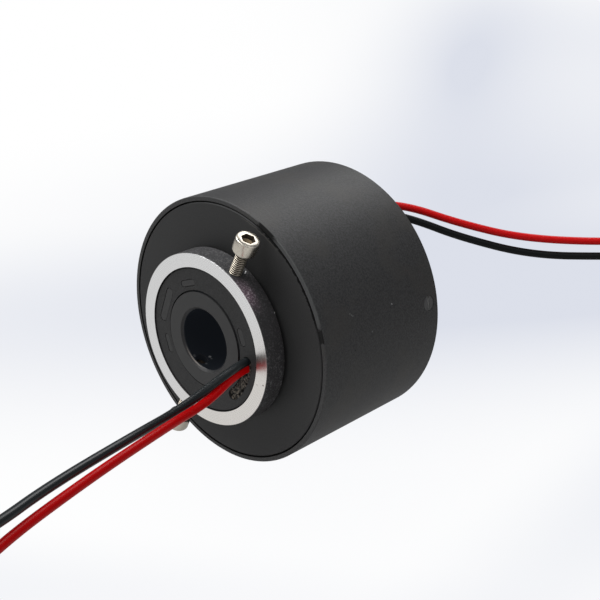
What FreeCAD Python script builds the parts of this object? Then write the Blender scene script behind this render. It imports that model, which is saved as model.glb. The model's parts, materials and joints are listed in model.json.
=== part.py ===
import FreeCAD, Part
import math
import os
import types
import Sketcher

# Through-bore electrical slip ring: a fixed shaft side (rotor) inside a drum that turns on it (stator).
# Lengths are in millimetres. +Y runs along the bore from the clamp collar to the rear cover, +Z is up,
# and the origin lies on the bore's axis in the plane of the drum's front rim.

SIZES = {
    # the drum
    "housing_dia": 56.0,
    "housing_len": 34.0,
    "housing_wall": 2.0,
    "rim_wall": 0.95,
    "rim_chamfer": 0.15,
    "front_seat": 3.0,
    "rear_seat": 4.8,
    "cover_gap": 0.3,
    "cover_chamfer": 0.15,
    "cover_web": 1.2,
    "front_hole_dia": 32.8,
    "rear_hole_dia": 36.0,
    "boss_wall": 1.7,
    "boss_lip": 0.2,
    # the shaft side
    "bore_dia": 12.7,
    "bore_chamfer": 0.5,
    "tube_dia": 20.0,
    "tube_stand_out": 0.5,
    "core_dia": 30.0,
    "core_recess": 0.2,
    "core_chamfer": 0.25,
    "core_end_gap": 0.2,
    "face_groove_width": 0.36,
    "face_groove_depth": 0.8,
    "collar_dia": 36.0,
    "collar_width": 4.75,
    "collar_gap": 0.9,
    "collar_fit": 0.07,
    "collar_chamfer": 0.12,
    "fit": 0.02,
    # thin-section ball bearings
    "bearing_dia": 37.0,
    "bearing_width": 4.0,
    "race_wall": 1.2,
    "ball_dia": 2.0,
    "ball_count": 12,
    "ball_play": 0.04,
    "cage_width": 2.8,
    "cage_play": 0.1,
    "spacer_dia": 32.0,
    "circlip_thick": 1.5,
    "circlip_depth": 0.7,
    "circlip_rise": 1.6,
    "circlip_opening": 6.0,
    "circlip_play": 0.05,
    # contact rings and the insulating barriers between them
    "ring_dia": 34.4,
    "ring_width": 4.0,
    "ring_spacing": 4.0,
    "barrier_dia": 36.4,
    "barrier_hub_dia": 32.0,
    "barrier_flange": 1.2,
    # lead slot and resin plugs in the shaft side's face
    "slot_radius": 12.3,
    "slot_width": 2.35,
    "slot_top_angle": -4.0,
    "slot_bottom_angle": -49.5,
    "window_top_angle": 1.0,
    "window_bottom_angle": -17.0,
    "plug_depth": 2.0,
    "plug_gap": 0.1,
    "plug_step": 0.05,
    "potting_recess": 0.55,
    "potting_depth": 5.0,
    # leads
    "lead_dia": 1.7,
    "lead_length": 250.0,
    "lead_fit": 0.02,
    "coil_turns": 2.75,
    "coil_pitch": 1.75,
    "coil_skin": 0.05,
    "tail_length": 4.5,
    "stripped_length": 5.0,
    "stripped_dia": 1.1,
    "tie_thick": 0.4,
    "tie_clearance": 0.15,
    "tie_width": 2.4,
    # clamp screws
    "clamp_angle": 64.0,
    "clamp_plane": 1.83,
    "clamp_shank_dia": 2.5,
    "clamp_shank_len": 16.0,
    "clamp_head_dia": 4.8,
    "clamp_head_height": 3.1,
    "clamp_head_chamfer": 0.25,
    "clamp_backed_out": 5.4,
    "clamp_socket": 2.5,
    "clamp_socket_depth": 1.6,
    "clamp_clearance": 0.06,
    "thread_clearance": 0.03,
    # rear cover screws
    "cover_screw_count": 3,
    "cover_screw_angle": 9.8,
    "cover_screw_dia": 3.1,
    "cover_screw_len": 4.4,
    "cover_screw_sink": 0.12,
    "cover_screw_back": 2.85,
    "driver_slot": 0.45,
    "driver_slot_depth": 0.7,
    # brush gear
    "brush_width": 3.2,
    "brush_length": 2.8,
    "brush_gap": 0.03,
    "spring_thick": 0.3,
    "spring_width": 2.6,
    "spring_offset": 4.9,
    "spring_rise": 1.2,
    "tab_length": 1.0,
    "holder_gap": 0.1,
    "holder_web": 2.2,
    "holder_half_width": 11.2,
    "holder_leg": 3.2,
    "holder_leg_drop": 2.4,
    "holder_overhang": 1.4,
    "holder_rear_gap": 4.3,
    "rivet_dia": 1.4,
    "rivet_head_dia": 2.4,
    "rivet_head": 0.45,
    "rivet_depth": 1.4,
    "holder_screw_dia": 1.6,
    "holder_screw_len": 9.0,
    "holder_screw_head_dia": 3.0,
    "holder_screw_head": 1.3,
    "holder_screw_sink": 0.2,
    "holder_screw_clearance": 0.1,
    # rear lead grommet
    "grommet_margin": 3.4,
    "grommet_spacing": 2.0,
    "grommet_wall": 0.35,
    "grommet_flange": 0.5,
    "grommet_flange_thick": 0.8,
}

# Each plug fills a straight moulded slot beside the tube: its distance from the tube, its width, the
# angle of its middle and the spacing of its two round ends.
PLUGS = {
    "top_plug": {"clear": 1.1, "width": 1.4, "angle": 111.0, "spacing": 3.0},
    "left_plug": {"clear": 1.05, "width": 1.9, "angle": 158.5, "spacing": 6.5},
    "lower_plug": {"clear": 1.1, "width": 1.3, "angle": 200.7, "spacing": 2.8},
    "right_plug": {"clear": 0.8, "width": 1.5, "angle": 20.2, "spacing": 2.3},
}

# Free leads: chosen route points, from the exit to where the put-away coil begins. The side says to
# which side of the route the coil's turns step.
FRONT_LEADS = {
    "black": {
        "side": 1,
        "route": [
            (12.1, -4.9, -0.7),
            (12.1, -9.9, -0.7),
            (14.6, -18.7, -2.3),
            (20.5, -34.6, 0.2),
            (24.8, -55.4, 2.3),
            (28.5, -72.2, 1.6),
            (29.8, -86.0, 1.6),
        ],
    },
    "red": {
        "side": -1,
        "route": [
            (11.85, -4.9, -2.6),
            (11.85, -9.6, -2.6),
            (14.6, -16.0, -4.5),
            (18.4, -29.7, -3.0),
            (24.1, -54.2, -1.4),
            (29.2, -73.4, -1.6),
            (38.7, -90.6, -1.6),
        ],
    },
}
REAR_LEADS = {
    "red": {
        "side": -1,
        "route": [
            (-1.0, 34.8, 22.6),
            (-1.0, 39.1, 22.6),
            (-1.1, 43.7, 20.6),
            (2.5, 50.5, 15.5),
            (16.2, 59.9, 11.4),
            (25.8, 70.8, 7.5),
            (37.9, 85.3, 6.6),
            (48.0, 97.8, 6.6),
        ],
    },
    "black": {
        "side": 1,
        "route": [
            (1.0, 34.8, 22.6),
            (1.0, 40.2, 22.6),
            (1.9, 45.1, 20.0),
            (6.2, 50.0, 13.4),
            (18.9, 60.0, 8.0),
            (27.5, 70.4, 4.4),
            (38.6, 84.1, 3.6),
            (50.5, 95.5, 3.6),
        ],
    },
}


class Length:
    """A size or a sum of sizes: its number, and the text that binds a property to the sheet."""

    def __init__(self, text, number):
        self.text = text
        self.number = number

    def joined(self, sign, other, number):
        return Length(f"({self.text} {sign} {as_length(other).text})", number)

    def __add__(self, other):
        return self.joined("+", other, self.number + as_length(other).number)

    def __sub__(self, other):
        return self.joined("-", other, self.number - as_length(other).number)

    def __mul__(self, other):
        return self.joined("*", other, self.number * as_length(other).number)

    def __truediv__(self, other):
        return self.joined("/", other, self.number / as_length(other).number)

    def __radd__(self, other):
        return as_length(other) + self

    def __rmul__(self, other):
        return as_length(other) * self

    def __rtruediv__(self, other):
        return as_length(other) / self

    def __rsub__(self, other):
        return as_length(other) - self

    def __neg__(self):
        return Length(f"(-1 * {self.text})", -self.number)


def as_length(value):
    return value if isinstance(value, Length) else Length(f"({value})", float(value))


def cosine(angle):
    angle = as_length(angle)
    return Length(f"cos({angle.text} * 1deg)", math.cos(math.radians(angle.number)))


def sine(angle):
    angle = as_length(angle)
    return Length(f"sin({angle.text} * 1deg)", math.sin(math.radians(angle.number)))


doc = FreeCAD.newDocument("slip_ring")
sheet = doc.addObject("Spreadsheet::Sheet", "Sizes")
dims = {}
for row, (alias, number) in enumerate(SIZES.items(), start=1):
    sheet.set(f"A{row}", alias)
    sheet.set(f"B{row}", str(number))
    sheet.setAlias(f"B{row}", alias)
    dims[alias] = Length(f"Sizes.{alias}", number)
doc.recompute()

nodes = []


def bind(thing, path, value):
    thing.setExpression(path, as_length(value).text)


def new_body(label):
    body = doc.addObject("PartDesign::Body", label)
    body.Label = label
    nodes.append(body)
    return body


def plane(body, role):
    return next(item for item in body.Origin.OriginFeatures if item.Role == role)


def new_sketch(body, name, role, offset=None):
    """A sketch on one of the body's own planes, moved along the plane's normal by offset."""
    sketch = body.newObject("Sketcher::SketchObject", name)
    sketch.AttachmentSupport = [(plane(body, role), "")]
    sketch.MapMode = "FlatFace"
    if offset is not None:
        bind(sketch, "AttachmentOffset.Base.z", offset)
    return sketch


def fix_vertex(sketch, geometry, point, across, up):
    """Place one vertex from the sketch's origin by two bound distances."""
    for kind, axis, value in (("DistanceX", -2, across), ("DistanceY", -1, up)):
        value = as_length(value)
        if value.text == "(0)":
            sketch.addConstraint(Sketcher.Constraint("PointOnObject", geometry, point, axis))
        else:
            number = sketch.addConstraint(
                Sketcher.Constraint(kind, -1, 1, geometry, point, value.number)
            )
            bind(sketch, f"Constraints[{number}]", value)


def add_outline(sketch, points):
    """A closed outline of straight sides whose corners are bound to the sheet."""
    corners = [FreeCAD.Vector(as_length(a).number, as_length(b).number, 0) for a, b in points]
    first = sketch.GeometryCount
    count = len(corners)
    for i in range(count):
        sketch.addGeometry(Part.LineSegment(corners[i], corners[(i + 1) % count]), False)
    for i in range(count):
        following = first + (i + 1) % count
        sketch.addConstraint(Sketcher.Constraint("Coincident", first + i, 2, following, 1))
        fix_vertex(sketch, first + i, 1, *points[i])


def add_circle(sketch, across, up, radius):
    across, up, radius = as_length(across), as_length(up), as_length(radius)
    centre = FreeCAD.Vector(across.number, up.number, 0)
    circle = Part.Circle(centre, FreeCAD.Vector(0, 0, 1), radius.number)
    index = sketch.addGeometry(circle, False)
    if across.text == up.text == "(0)":
        sketch.addConstraint(Sketcher.Constraint("Coincident", index, 3, -1, 1))
    else:
        fix_vertex(sketch, index, 3, across, up)
    number = sketch.addConstraint(Sketcher.Constraint("Radius", index, radius.number))
    bind(sketch, f"Constraints[{number}]", radius)


def add_arc(sketch, centre, radius, start, end):
    """An arc from start to end in degrees, with its centre (two lengths) and its radius bound."""
    index = draw_arc(sketch, centre, radius, start, end)
    if as_length(centre[0]).text == as_length(centre[1]).text == "(0)":
        sketch.addConstraint(Sketcher.Constraint("Coincident", index, 3, -1, 1))
    else:
        fix_vertex(sketch, index, 3, *centre)
    number = sketch.addConstraint(Sketcher.Constraint("Radius", index, radius.number))
    bind(sketch, f"Constraints[{number}]", radius)
    return index


def draw_arc(sketch, centre, radius, start, end):
    """An arc drawn at its place with nothing bound yet."""
    middle = FreeCAD.Vector(as_length(centre[0]).number, as_length(centre[1]).number, 0)
    circle = Part.Circle(middle, FreeCAD.Vector(0, 0, 1), radius.number)
    arc = Part.ArcOfCircle(circle, math.radians(start), math.radians(end))
    return sketch.addGeometry(arc, False)


def add_curved_slot(sketch, radius, width, start, end):
    """A slot bent round the origin with round ends, from start to end (degrees, start below end)."""
    radius, half = as_length(radius), as_length(width) / 2
    start, end = as_length(start), as_length(end)
    low, high = start.number, end.number
    outer = add_arc(sketch, (0, 0), radius + half, low, high)
    inner = add_arc(sketch, (0, 0), radius - half, low, high)
    far_centre = (radius * cosine(end), radius * sine(end))
    near_centre = (radius * cosine(start), radius * sine(start))
    far = draw_arc(sketch, far_centre, half, high, high + 180)
    near = draw_arc(sketch, near_centre, half, low + 180, low + 360)
    for first, first_end, second, second_end in (
        (outer, 2, far, 1),
        (far, 2, inner, 2),
        (inner, 1, near, 1),
        (near, 2, outer, 1),
    ):
        sketch.addConstraint(Sketcher.Constraint("Tangent", first, first_end, second, second_end))
    # Each end arc still slides round the slot, so one coordinate of its centre, the one that changes
    # faster there, holds it.
    for index, centre in ((far, far_centre), (near, near_centre)):
        steep = abs(centre[0].number) > abs(centre[1].number)
        kind, value = ("DistanceY", centre[1]) if steep else ("DistanceX", centre[0])
        number = sketch.addConstraint(Sketcher.Constraint(kind, -1, 1, index, 3, value.number))
        bind(sketch, f"Constraints[{number}]", value)


def add_oblong(sketch, across, up, spacing, radius):
    """A slot lying along the sketch's horizontal, its two end centres spacing apart."""
    half = as_length(spacing) / 2
    across = as_length(across)
    right = add_arc(sketch, (across + half, up), radius, -90, 90)
    left = add_arc(sketch, (across - half, up), radius, 90, 270)
    ends = {
        "right_low": (across + half, up - radius),
        "right_high": (across + half, up + radius),
        "left_low": (across - half, up - radius),
        "left_high": (across - half, up + radius),
    }
    spots = {name: FreeCAD.Vector(a.number, b.number, 0) for name, (a, b) in ends.items()}
    top = sketch.addGeometry(Part.LineSegment(spots["right_high"], spots["left_high"]), False)
    base = sketch.addGeometry(Part.LineSegment(spots["left_low"], spots["right_low"]), False)
    for first, first_end, second, second_end in (
        (right, 2, top, 1),
        (top, 2, left, 1),
        (left, 2, base, 1),
        (base, 2, right, 1),
    ):
        sketch.addConstraint(Sketcher.Constraint("Tangent", first, first_end, second, second_end))


def add_straight_slot(sketch, distance, angle, width, spacing):
    """A slot square to the radius at an angle, its two end centres spacing apart."""
    distance, angle = as_length(distance), as_length(angle)
    half, reach = as_length(width) / 2, as_length(spacing) / 2
    out_x, out_y = cosine(angle), sine(angle)
    far_centre = (distance * out_x - reach * out_y, distance * out_y + reach * out_x)
    near_centre = (distance * out_x + reach * out_y, distance * out_y - reach * out_x)
    turn = angle.number
    far = add_arc(sketch, far_centre, half, turn, turn + 180)
    near = add_arc(sketch, near_centre, half, turn + 180, turn + 360)

    def corner(centre, side):
        across, up = centre[0] + half * out_x * side, centre[1] + half * out_y * side
        return FreeCAD.Vector(across.number, up.number, 0)

    inner_line = Part.LineSegment(corner(far_centre, -1), corner(near_centre, -1))
    outer_line = Part.LineSegment(corner(near_centre, 1), corner(far_centre, 1))
    inner = sketch.addGeometry(inner_line, False)
    outer = sketch.addGeometry(outer_line, False)
    for first, first_end, second, second_end in (
        (far, 2, inner, 1),
        (inner, 2, near, 1),
        (near, 2, outer, 1),
        (outer, 2, far, 1),
    ):
        sketch.addConstraint(Sketcher.Constraint("Tangent", first, first_end, second, second_end))


def revolve(body, name, points, cut=False):
    """Turn an outline of (radius, y) corners about the bore's axis."""
    sketch = new_sketch(body, f"{name}_sketch", "XY_Plane")
    add_outline(sketch, points)
    feature = body.newObject("PartDesign::Groove" if cut else "PartDesign::Revolution", name)
    feature.Profile = sketch
    feature.ReferenceAxis = (sketch, ["V_Axis"])
    feature.Angle = 360
    body.Tip = feature
    return feature


def extrude(body, name, sketch, length, cut=False, other_way=False):
    feature = body.newObject("PartDesign::Pocket" if cut else "PartDesign::Pad", name)
    feature.Profile = sketch
    bind(feature, "Length", length)
    feature.Reversed = other_way
    body.Tip = feature
    return feature


def repeat_round(body, name, feature, count):
    """Repeat a feature evenly round the bore's axis."""
    pattern = body.newObject("PartDesign::PolarPattern", name)
    pattern.Originals = [feature]
    pattern.Axis = (plane(body, "Y_Axis"), [""])
    pattern.Angle = 360
    bind(pattern, "Occurrences", count)
    body.Tip = pattern
    return pattern


def drill_radially(body, name, radius, along, angle, inner, length, count):
    """Holes whose axes cross the bore's axis, drilled outwards from the inner radius."""
    sketch = new_sketch(body, f"{name}_sketch", "YZ_Plane")
    turn = FreeCAD.Rotation(FreeCAD.Vector(1, 0, 0), -angle.number)
    sketch.AttachmentOffset = FreeCAD.Placement(FreeCAD.Vector(0, 0, 0), turn)
    bind(sketch, "AttachmentOffset.Rotation.Angle", -angle)
    bind(sketch, "AttachmentOffset.Base.y", inner * sine(angle))
    bind(sketch, "AttachmentOffset.Base.z", inner * cosine(angle))
    add_circle(sketch, along, 0, radius)
    hole = extrude(body, name, sketch, length, cut=True, other_way=True)
    return repeat_round(body, f"{name}_pattern", hole, count)


def lie_radially(thing, angle, along):
    """Turn a piece built along +Z so that it points outwards at an angle, at one place along the bore."""
    angle, along = as_length(angle), as_length(along)
    turn = FreeCAD.Rotation(FreeCAD.Vector(0, 1, 0), 90 - angle.number)
    thing.Placement = FreeCAD.Placement(FreeCAD.Vector(0, along.number, 0), turn)
    bind(thing, "Placement.Rotation.Angle", 90 - angle)
    bind(thing, "Placement.Base.y", along)


def cylinder(name, radius, height):
    piece = doc.addObject("Part::Cylinder", name)
    bind(piece, "Radius", radius)
    bind(piece, "Height", height)
    return piece


def group(label, members):
    """Several like pieces in one node."""
    compound = doc.addObject("Part::Compound", label)
    compound.Label = label
    compound.Links = members
    nodes.append(compound)
    return compound


# Places along the bore and radii that several pieces share.
d = types.SimpleNamespace(**dims)
collar_face = -(d.collar_gap + d.collar_width)
core_face = collar_face + d.core_recess
core_end = d.housing_len - d.core_end_gap
tube_end = d.housing_len + d.tube_stand_out
clamp_plane = -(d.collar_gap + d.collar_width - d.clamp_plane)
front_bearing = d.cover_web
rear_bearing = core_end - d.barrier_flange / 2 - d.circlip_thick - d.circlip_play - d.bearing_width
core_radius = d.core_dia / 2
seat_radius = core_radius + d.fit
bearing_radius = d.bearing_dia / 2
pocket_radius = bearing_radius + d.fit
pitch_radius = (core_radius + bearing_radius) / 2
housing_radius = d.housing_dia / 2
inside_radius = housing_radius - d.housing_wall
cover_seat_radius = housing_radius - d.rim_wall
cover_radius = cover_seat_radius - d.cover_gap
rear_plate = d.housing_len - d.rear_seat
stack_start = front_bearing + d.bearing_width
end_barrier = (rear_bearing - stack_start - d.ring_width * 2 - d.ring_spacing) / 2
front_ring = stack_start + end_barrier
middle_barrier = front_ring + d.ring_width
rear_ring = middle_barrier + d.ring_spacing
rear_barrier = rear_ring + d.ring_width
ring_radius = d.ring_dia / 2
web_height = inside_radius - d.holder_web
brush_height = web_height - d.spring_thick - d.spring_rise - ring_radius - d.brush_gap
holder_front = front_ring - d.holder_overhang
holder_web_end = rear_plate - d.holder_rear_gap
rivet_place = middle_barrier + d.ring_spacing / 2
grommet_height = inside_radius - d.grommet_margin
potting_face = core_face + d.potting_recess


def plug_radius(plug):
    return d.tube_dia / 2 + plug["clear"] + plug["width"] / 2


def make_shaft_tube():
    body = new_body("shaft_tube")
    inner, outer = d.bore_dia / 2, d.tube_dia / 2
    revolve(body, "tube_turning", [
        (inner + d.bore_chamfer, collar_face),
        (outer, collar_face),
        (outer, tube_end),
        (inner + d.bore_chamfer, tube_end),
        (inner, tube_end - d.bore_chamfer),
        (inner, collar_face + d.bore_chamfer),
    ])
    hole = d.clamp_shank_dia / 2 + d.clamp_clearance
    drill_radially(body, "tube_screw_hole", hole, clamp_plane, d.clamp_angle, inner / 2, outer, 2)


def make_rotor_core():
    """The moulded core: lead slot, plug slots, screw holes and circlip groove."""
    body = new_body("rotor_core")
    bore = d.tube_dia / 2 + d.fit
    groove = d.tube_dia / 2 + d.face_groove_width
    clip_radius = core_radius - d.circlip_depth
    clip_front = rear_bearing + d.bearing_width
    clip_rear = clip_front + d.circlip_thick + d.circlip_play
    revolve(body, "core_turning", [
        (groove, core_face),
        (core_radius - d.core_chamfer, core_face),
        (core_radius, core_face + d.core_chamfer),
        (core_radius, clip_front),
        (clip_radius, clip_front),
        (clip_radius, clip_rear),
        (core_radius, clip_rear),
        (core_radius, core_end),
        (bore, core_end),
        (bore, core_face + d.face_groove_depth),
        (groove, core_face + d.face_groove_depth),
    ])
    hole = d.clamp_shank_dia / 2 + d.clamp_clearance
    drill_radially(body, "core_screw_hole", hole, clamp_plane, d.clamp_angle, bore / 2, core_radius, 2)
    slot = new_sketch(body, "lead_slot_sketch", "XZ_Plane", -core_face)
    add_curved_slot(slot, d.slot_radius, d.slot_width, d.slot_bottom_angle, d.slot_top_angle)
    slot_end = rear_ring + d.ring_width
    extrude(body, "lead_slot", slot, slot_end - core_face, cut=True)
    # The leads step outwards to their rings through a window in the slot's outer wall.
    window = new_sketch(body, "lead_window_sketch", "XZ_Plane", -(front_ring + d.ring_width / 4))
    window_width = core_radius - d.slot_radius + d.lead_dia
    add_curved_slot(
        window,
        d.slot_radius + window_width / 2,
        window_width,
        d.window_bottom_angle,
        d.window_top_angle - 6,
    )
    window_length = rear_ring - front_ring + d.ring_width / 2
    extrude(body, "lead_window", window, window_length, cut=True)
    for name, plug in PLUGS.items():
        sketch = new_sketch(body, f"{name}_slot_sketch", "XZ_Plane", -core_face)
        add_straight_slot(sketch, plug_radius(plug), plug["angle"], plug["width"], plug["spacing"])
        extrude(body, f"{name}_slot", sketch, d.plug_depth, cut=True)


def make_channel_plugs():
    members = []
    for name, plug in PLUGS.items():
        body = doc.addObject("PartDesign::Body", name)
        sketch = new_sketch(body, f"{name}_sketch", "XZ_Plane", -(core_face + d.plug_step))
        width = plug["width"] - 2 * d.plug_gap
        add_straight_slot(sketch, plug_radius(plug), plug["angle"], width, plug["spacing"])
        extrude(body, f"{name}_pad", sketch, d.plug_depth - d.plug_step, other_way=True)
        members.append(body)
    group("channel_plugs", members)


def make_lead_potting():
    """The resin that closes the lead slot's mouth, with the two leads through it."""
    body = new_body("lead_potting")
    sketch = new_sketch(body, "potting_sketch", "XZ_Plane", -potting_face)
    width = d.slot_width - 2 * d.fit
    add_curved_slot(sketch, d.slot_radius, width, d.slot_bottom_angle, d.slot_top_angle)
    extrude(body, "potting_pad", sketch, d.potting_depth, other_way=True)
    holes = new_sketch(body, "potting_hole_sketch", "XZ_Plane", -potting_face)
    for lead in FRONT_LEADS.values():
        across, _, up = lead["route"][0]
        add_circle(holes, across, up, d.lead_dia / 2 + d.lead_fit)
    extrude(body, "potting_holes", holes, d.potting_depth, cut=True)


def make_clamp_collar():
    body = new_body("clamp_collar")
    inner, outer = core_radius + d.collar_fit, d.collar_dia / 2
    revolve(body, "collar_turning", [
        (inner, collar_face),
        (outer - d.collar_chamfer, collar_face),
        (outer, collar_face + d.collar_chamfer),
        (outer, -d.collar_gap - d.collar_chamfer),
        (outer - d.collar_chamfer, -d.collar_gap),
        (inner, -d.collar_gap),
    ])
    hole = d.clamp_shank_dia / 2 + d.thread_clearance
    drill_radially(body, "collar_thread", hole, clamp_plane, d.clamp_angle, core_radius / 2, outer, 2)


def make_turned_ring(label, inner, outer, start, end):
    body = new_body(label)
    revolve(body, f"{label}_turning", [(inner, start), (outer, start), (outer, end), (inner, end)])
    return body


def make_barrier(label, start, end, flange_at_start, flange_at_end):
    """An insulating spool: a hub with a flange beside each contact ring."""
    body = new_body(label)
    hub, flange = d.barrier_hub_dia / 2, d.barrier_dia / 2
    points = [(seat_radius, start)]
    if flange_at_start:
        points += [(flange, start), (flange, start + d.barrier_flange)]
        points += [(hub, start + d.barrier_flange)]
    else:
        points += [(hub, start)]
    if flange_at_end:
        points += [(hub, end - d.barrier_flange), (flange, end - d.barrier_flange)]
        points += [(flange, end)]
    else:
        points += [(hub, end)]
    points += [(seat_radius, end)]
    revolve(body, f"{label}_turning", points)


def groove_race(body, name, middle):
    """The ball track: a groove of round section cut into a race."""
    sketch = new_sketch(body, f"{name}_sketch", "XY_Plane")
    add_circle(sketch, pitch_radius, middle, d.ball_dia / 2 + d.ball_play)
    track = body.newObject("PartDesign::Groove", name)
    track.Profile = sketch
    track.ReferenceAxis = (sketch, ["V_Axis"])
    track.Angle = 360
    body.Tip = track


def make_bearing(label, start):
    middle = start + d.bearing_width / 2
    end = start + d.bearing_width
    inner_top = core_radius + d.race_wall
    outer_base = bearing_radius - d.race_wall
    inner = make_turned_ring(f"{label}_inner_race", seat_radius, inner_top, start, end)
    groove_race(inner, f"{label}_inner_track", middle)
    outer = make_turned_ring(f"{label}_outer_race", outer_base, bearing_radius, start, end)
    groove_race(outer, f"{label}_outer_track", middle)
    half = d.cage_width / 2
    cage = make_turned_ring(
        f"{label}_cage",
        inner_top + d.cage_play,
        outer_base - d.cage_play,
        middle - half,
        middle + half,
    )
    drill_radially(
        cage,
        f"{label}_pocket",
        d.ball_dia / 2 + 2 * d.ball_play,
        middle,
        as_length(0),
        core_radius,
        bearing_radius - core_radius,
        d.ball_count,
    )
    balls = []
    for number in range(SIZES["ball_count"]):
        ball = doc.addObject("Part::Sphere", f"{label}_ball_{number + 1}")
        bind(ball, "Radius", d.ball_dia / 2)
        angle = number * (360 / d.ball_count)
        bind(ball, "Placement.Base.x", pitch_radius * cosine(angle))
        bind(ball, "Placement.Base.y", middle)
        bind(ball, "Placement.Base.z", pitch_radius * sine(angle))
        balls.append(ball)
    group(f"{label}_balls", balls)


def make_retaining_ring():
    """The circlip behind the rear bearing, open at the bottom."""
    body = new_body("retaining_ring")
    clip_front = rear_bearing + d.bearing_width + d.circlip_play / 2
    inner = core_radius - d.circlip_depth + d.circlip_play
    sketch = new_sketch(body, "circlip_sketch", "XZ_Plane", -clip_front)
    add_circle(sketch, 0, 0, core_radius + d.circlip_rise)
    add_circle(sketch, 0, 0, inner)
    extrude(body, "circlip_pad", sketch, d.circlip_thick, other_way=True)
    gap = new_sketch(body, "circlip_gap_sketch", "XZ_Plane", -clip_front)
    half = d.circlip_opening / 2
    add_outline(gap, [
        (-half, -d.core_dia),
        (half, -d.core_dia),
        (half, -core_radius / 2),
        (-half, -core_radius / 2),
    ])
    extrude(body, "circlip_gap", gap, d.circlip_thick, cut=True)


def make_clamp_screw(label, angle):
    """A socket-head screw, backed out of the collar, built along +Z from the bore's axis."""
    body = new_body(label)
    underside = d.collar_dia / 2 + d.clamp_backed_out
    top = underside + d.clamp_head_height
    tip = underside - d.clamp_shank_len
    shank, head = d.clamp_shank_dia / 2, d.clamp_head_dia / 2
    edge = d.clamp_head_chamfer
    sketch = new_sketch(body, f"{label}_sketch", "XZ_Plane")
    add_outline(sketch, [
        (0, tip),
        (shank - edge, tip),
        (shank, tip + edge),
        (shank, underside),
        (head - edge * 1.6, underside),
        (head, underside + edge * 1.6),
        (head, top - edge),
        (head - edge, top),
        (0, top),
    ])
    turning = body.newObject("PartDesign::Revolution", f"{label}_turning")
    turning.Profile = sketch
    turning.ReferenceAxis = (sketch, ["V_Axis"])
    turning.Angle = 360
    body.Tip = turning
    socket = new_sketch(body, f"{label}_socket_sketch", "XY_Plane", top)
    corner = d.clamp_socket / 2 / cosine(30)
    add_outline(socket, [(corner * cosine(60 * i + 12), corner * sine(60 * i + 12)) for i in range(6)])
    extrude(body, f"{label}_socket", socket, d.clamp_socket_depth, cut=True)
    lie_radially(body, angle, clamp_plane)


def make_housing():
    body = new_body("housing")
    rear = d.housing_len
    revolve(body, "housing_turning", [
        (cover_seat_radius, 0),
        (housing_radius - d.rim_chamfer, 0),
        (housing_radius, d.rim_chamfer),
        (housing_radius, rear - d.rim_chamfer),
        (housing_radius - d.rim_chamfer, rear),
        (cover_seat_radius, rear),
        (cover_seat_radius, rear_plate),
        (inside_radius, rear_plate),
        (inside_radius, d.front_seat),
        (cover_seat_radius, d.front_seat),
    ])
    hole = d.cover_screw_dia / 2 + d.thread_clearance
    drill_radially(
        body,
        "housing_screw_hole",
        hole,
        rear - d.cover_screw_back,
        d.cover_screw_angle,
        inside_radius,
        housing_radius - inside_radius + 1,
        d.cover_screw_count,
    )


def make_front_cover():
    body = new_body("front_cover")
    hole = d.front_hole_dia / 2
    boss = pocket_radius + d.boss_wall
    boss_end = front_bearing + d.bearing_width + d.boss_lip
    revolve(body, "front_cover_turning", [
        (hole, 0),
        (cover_radius - d.cover_chamfer, 0),
        (cover_radius, d.cover_chamfer),
        (cover_radius, d.front_seat),
        (boss, d.front_seat),
        (boss, boss_end),
        (pocket_radius, boss_end),
        (pocket_radius, front_bearing),
        (hole, front_bearing),
    ])


def make_rear_cover():
    """The rear cover: bearing pocket, lead outlet and the brush holder's screw seats."""
    body = new_body("rear_cover")
    rear = d.housing_len
    hole = d.rear_hole_dia / 2
    boss = pocket_radius + d.boss_wall
    pocket_end = rear_bearing + d.bearing_width
    revolve(body, "rear_cover_turning", [
        (hole, pocket_end),
        (pocket_radius, pocket_end),
        (pocket_radius, rear_bearing - d.boss_lip),
        (boss, rear_bearing - d.boss_lip),
        (boss, rear_plate),
        (cover_radius, rear_plate),
        (cover_radius, rear - d.cover_chamfer),
        (cover_radius - d.cover_chamfer, rear),
        (hole, rear),
    ])
    hole = d.cover_screw_dia / 2 + d.thread_clearance
    drill_radially(
        body,
        "rear_cover_screw_hole",
        hole,
        rear - d.cover_screw_back,
        d.cover_screw_angle,
        housing_radius - d.cover_screw_len - d.cover_screw_sink * 2,
        d.cover_screw_len,
        d.cover_screw_count,
    )
    outlet = new_sketch(body, "lead_outlet_sketch", "XZ_Plane", -rear)
    outlet_radius = d.lead_dia / 2 + d.grommet_wall + d.fit
    add_oblong(outlet, 0, grommet_height, d.grommet_spacing, outlet_radius)
    outlet_depth = rear - rear_bearing + d.boss_lip
    extrude(body, "lead_outlet", outlet, outlet_depth, cut=True, other_way=True)
    across, up = holder_screw_place()
    seats = new_sketch(body, "holder_screw_seat_sketch", "XZ_Plane", -rear)
    holes = new_sketch(body, "holder_screw_hole_sketch", "XZ_Plane", -rear)
    for side in (-1, 1):
        clear = d.holder_screw_clearance
        add_circle(seats, across * side, up, d.holder_screw_head_dia / 2 + clear)
        add_circle(holes, across * side, up, d.holder_screw_dia / 2 + clear)
    depth = d.holder_screw_head + d.holder_screw_sink
    extrude(body, "holder_screw_seats", seats, depth, cut=True, other_way=True)
    extrude(body, "holder_screw_holes", holes, d.rear_seat, cut=True, other_way=True)


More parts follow.
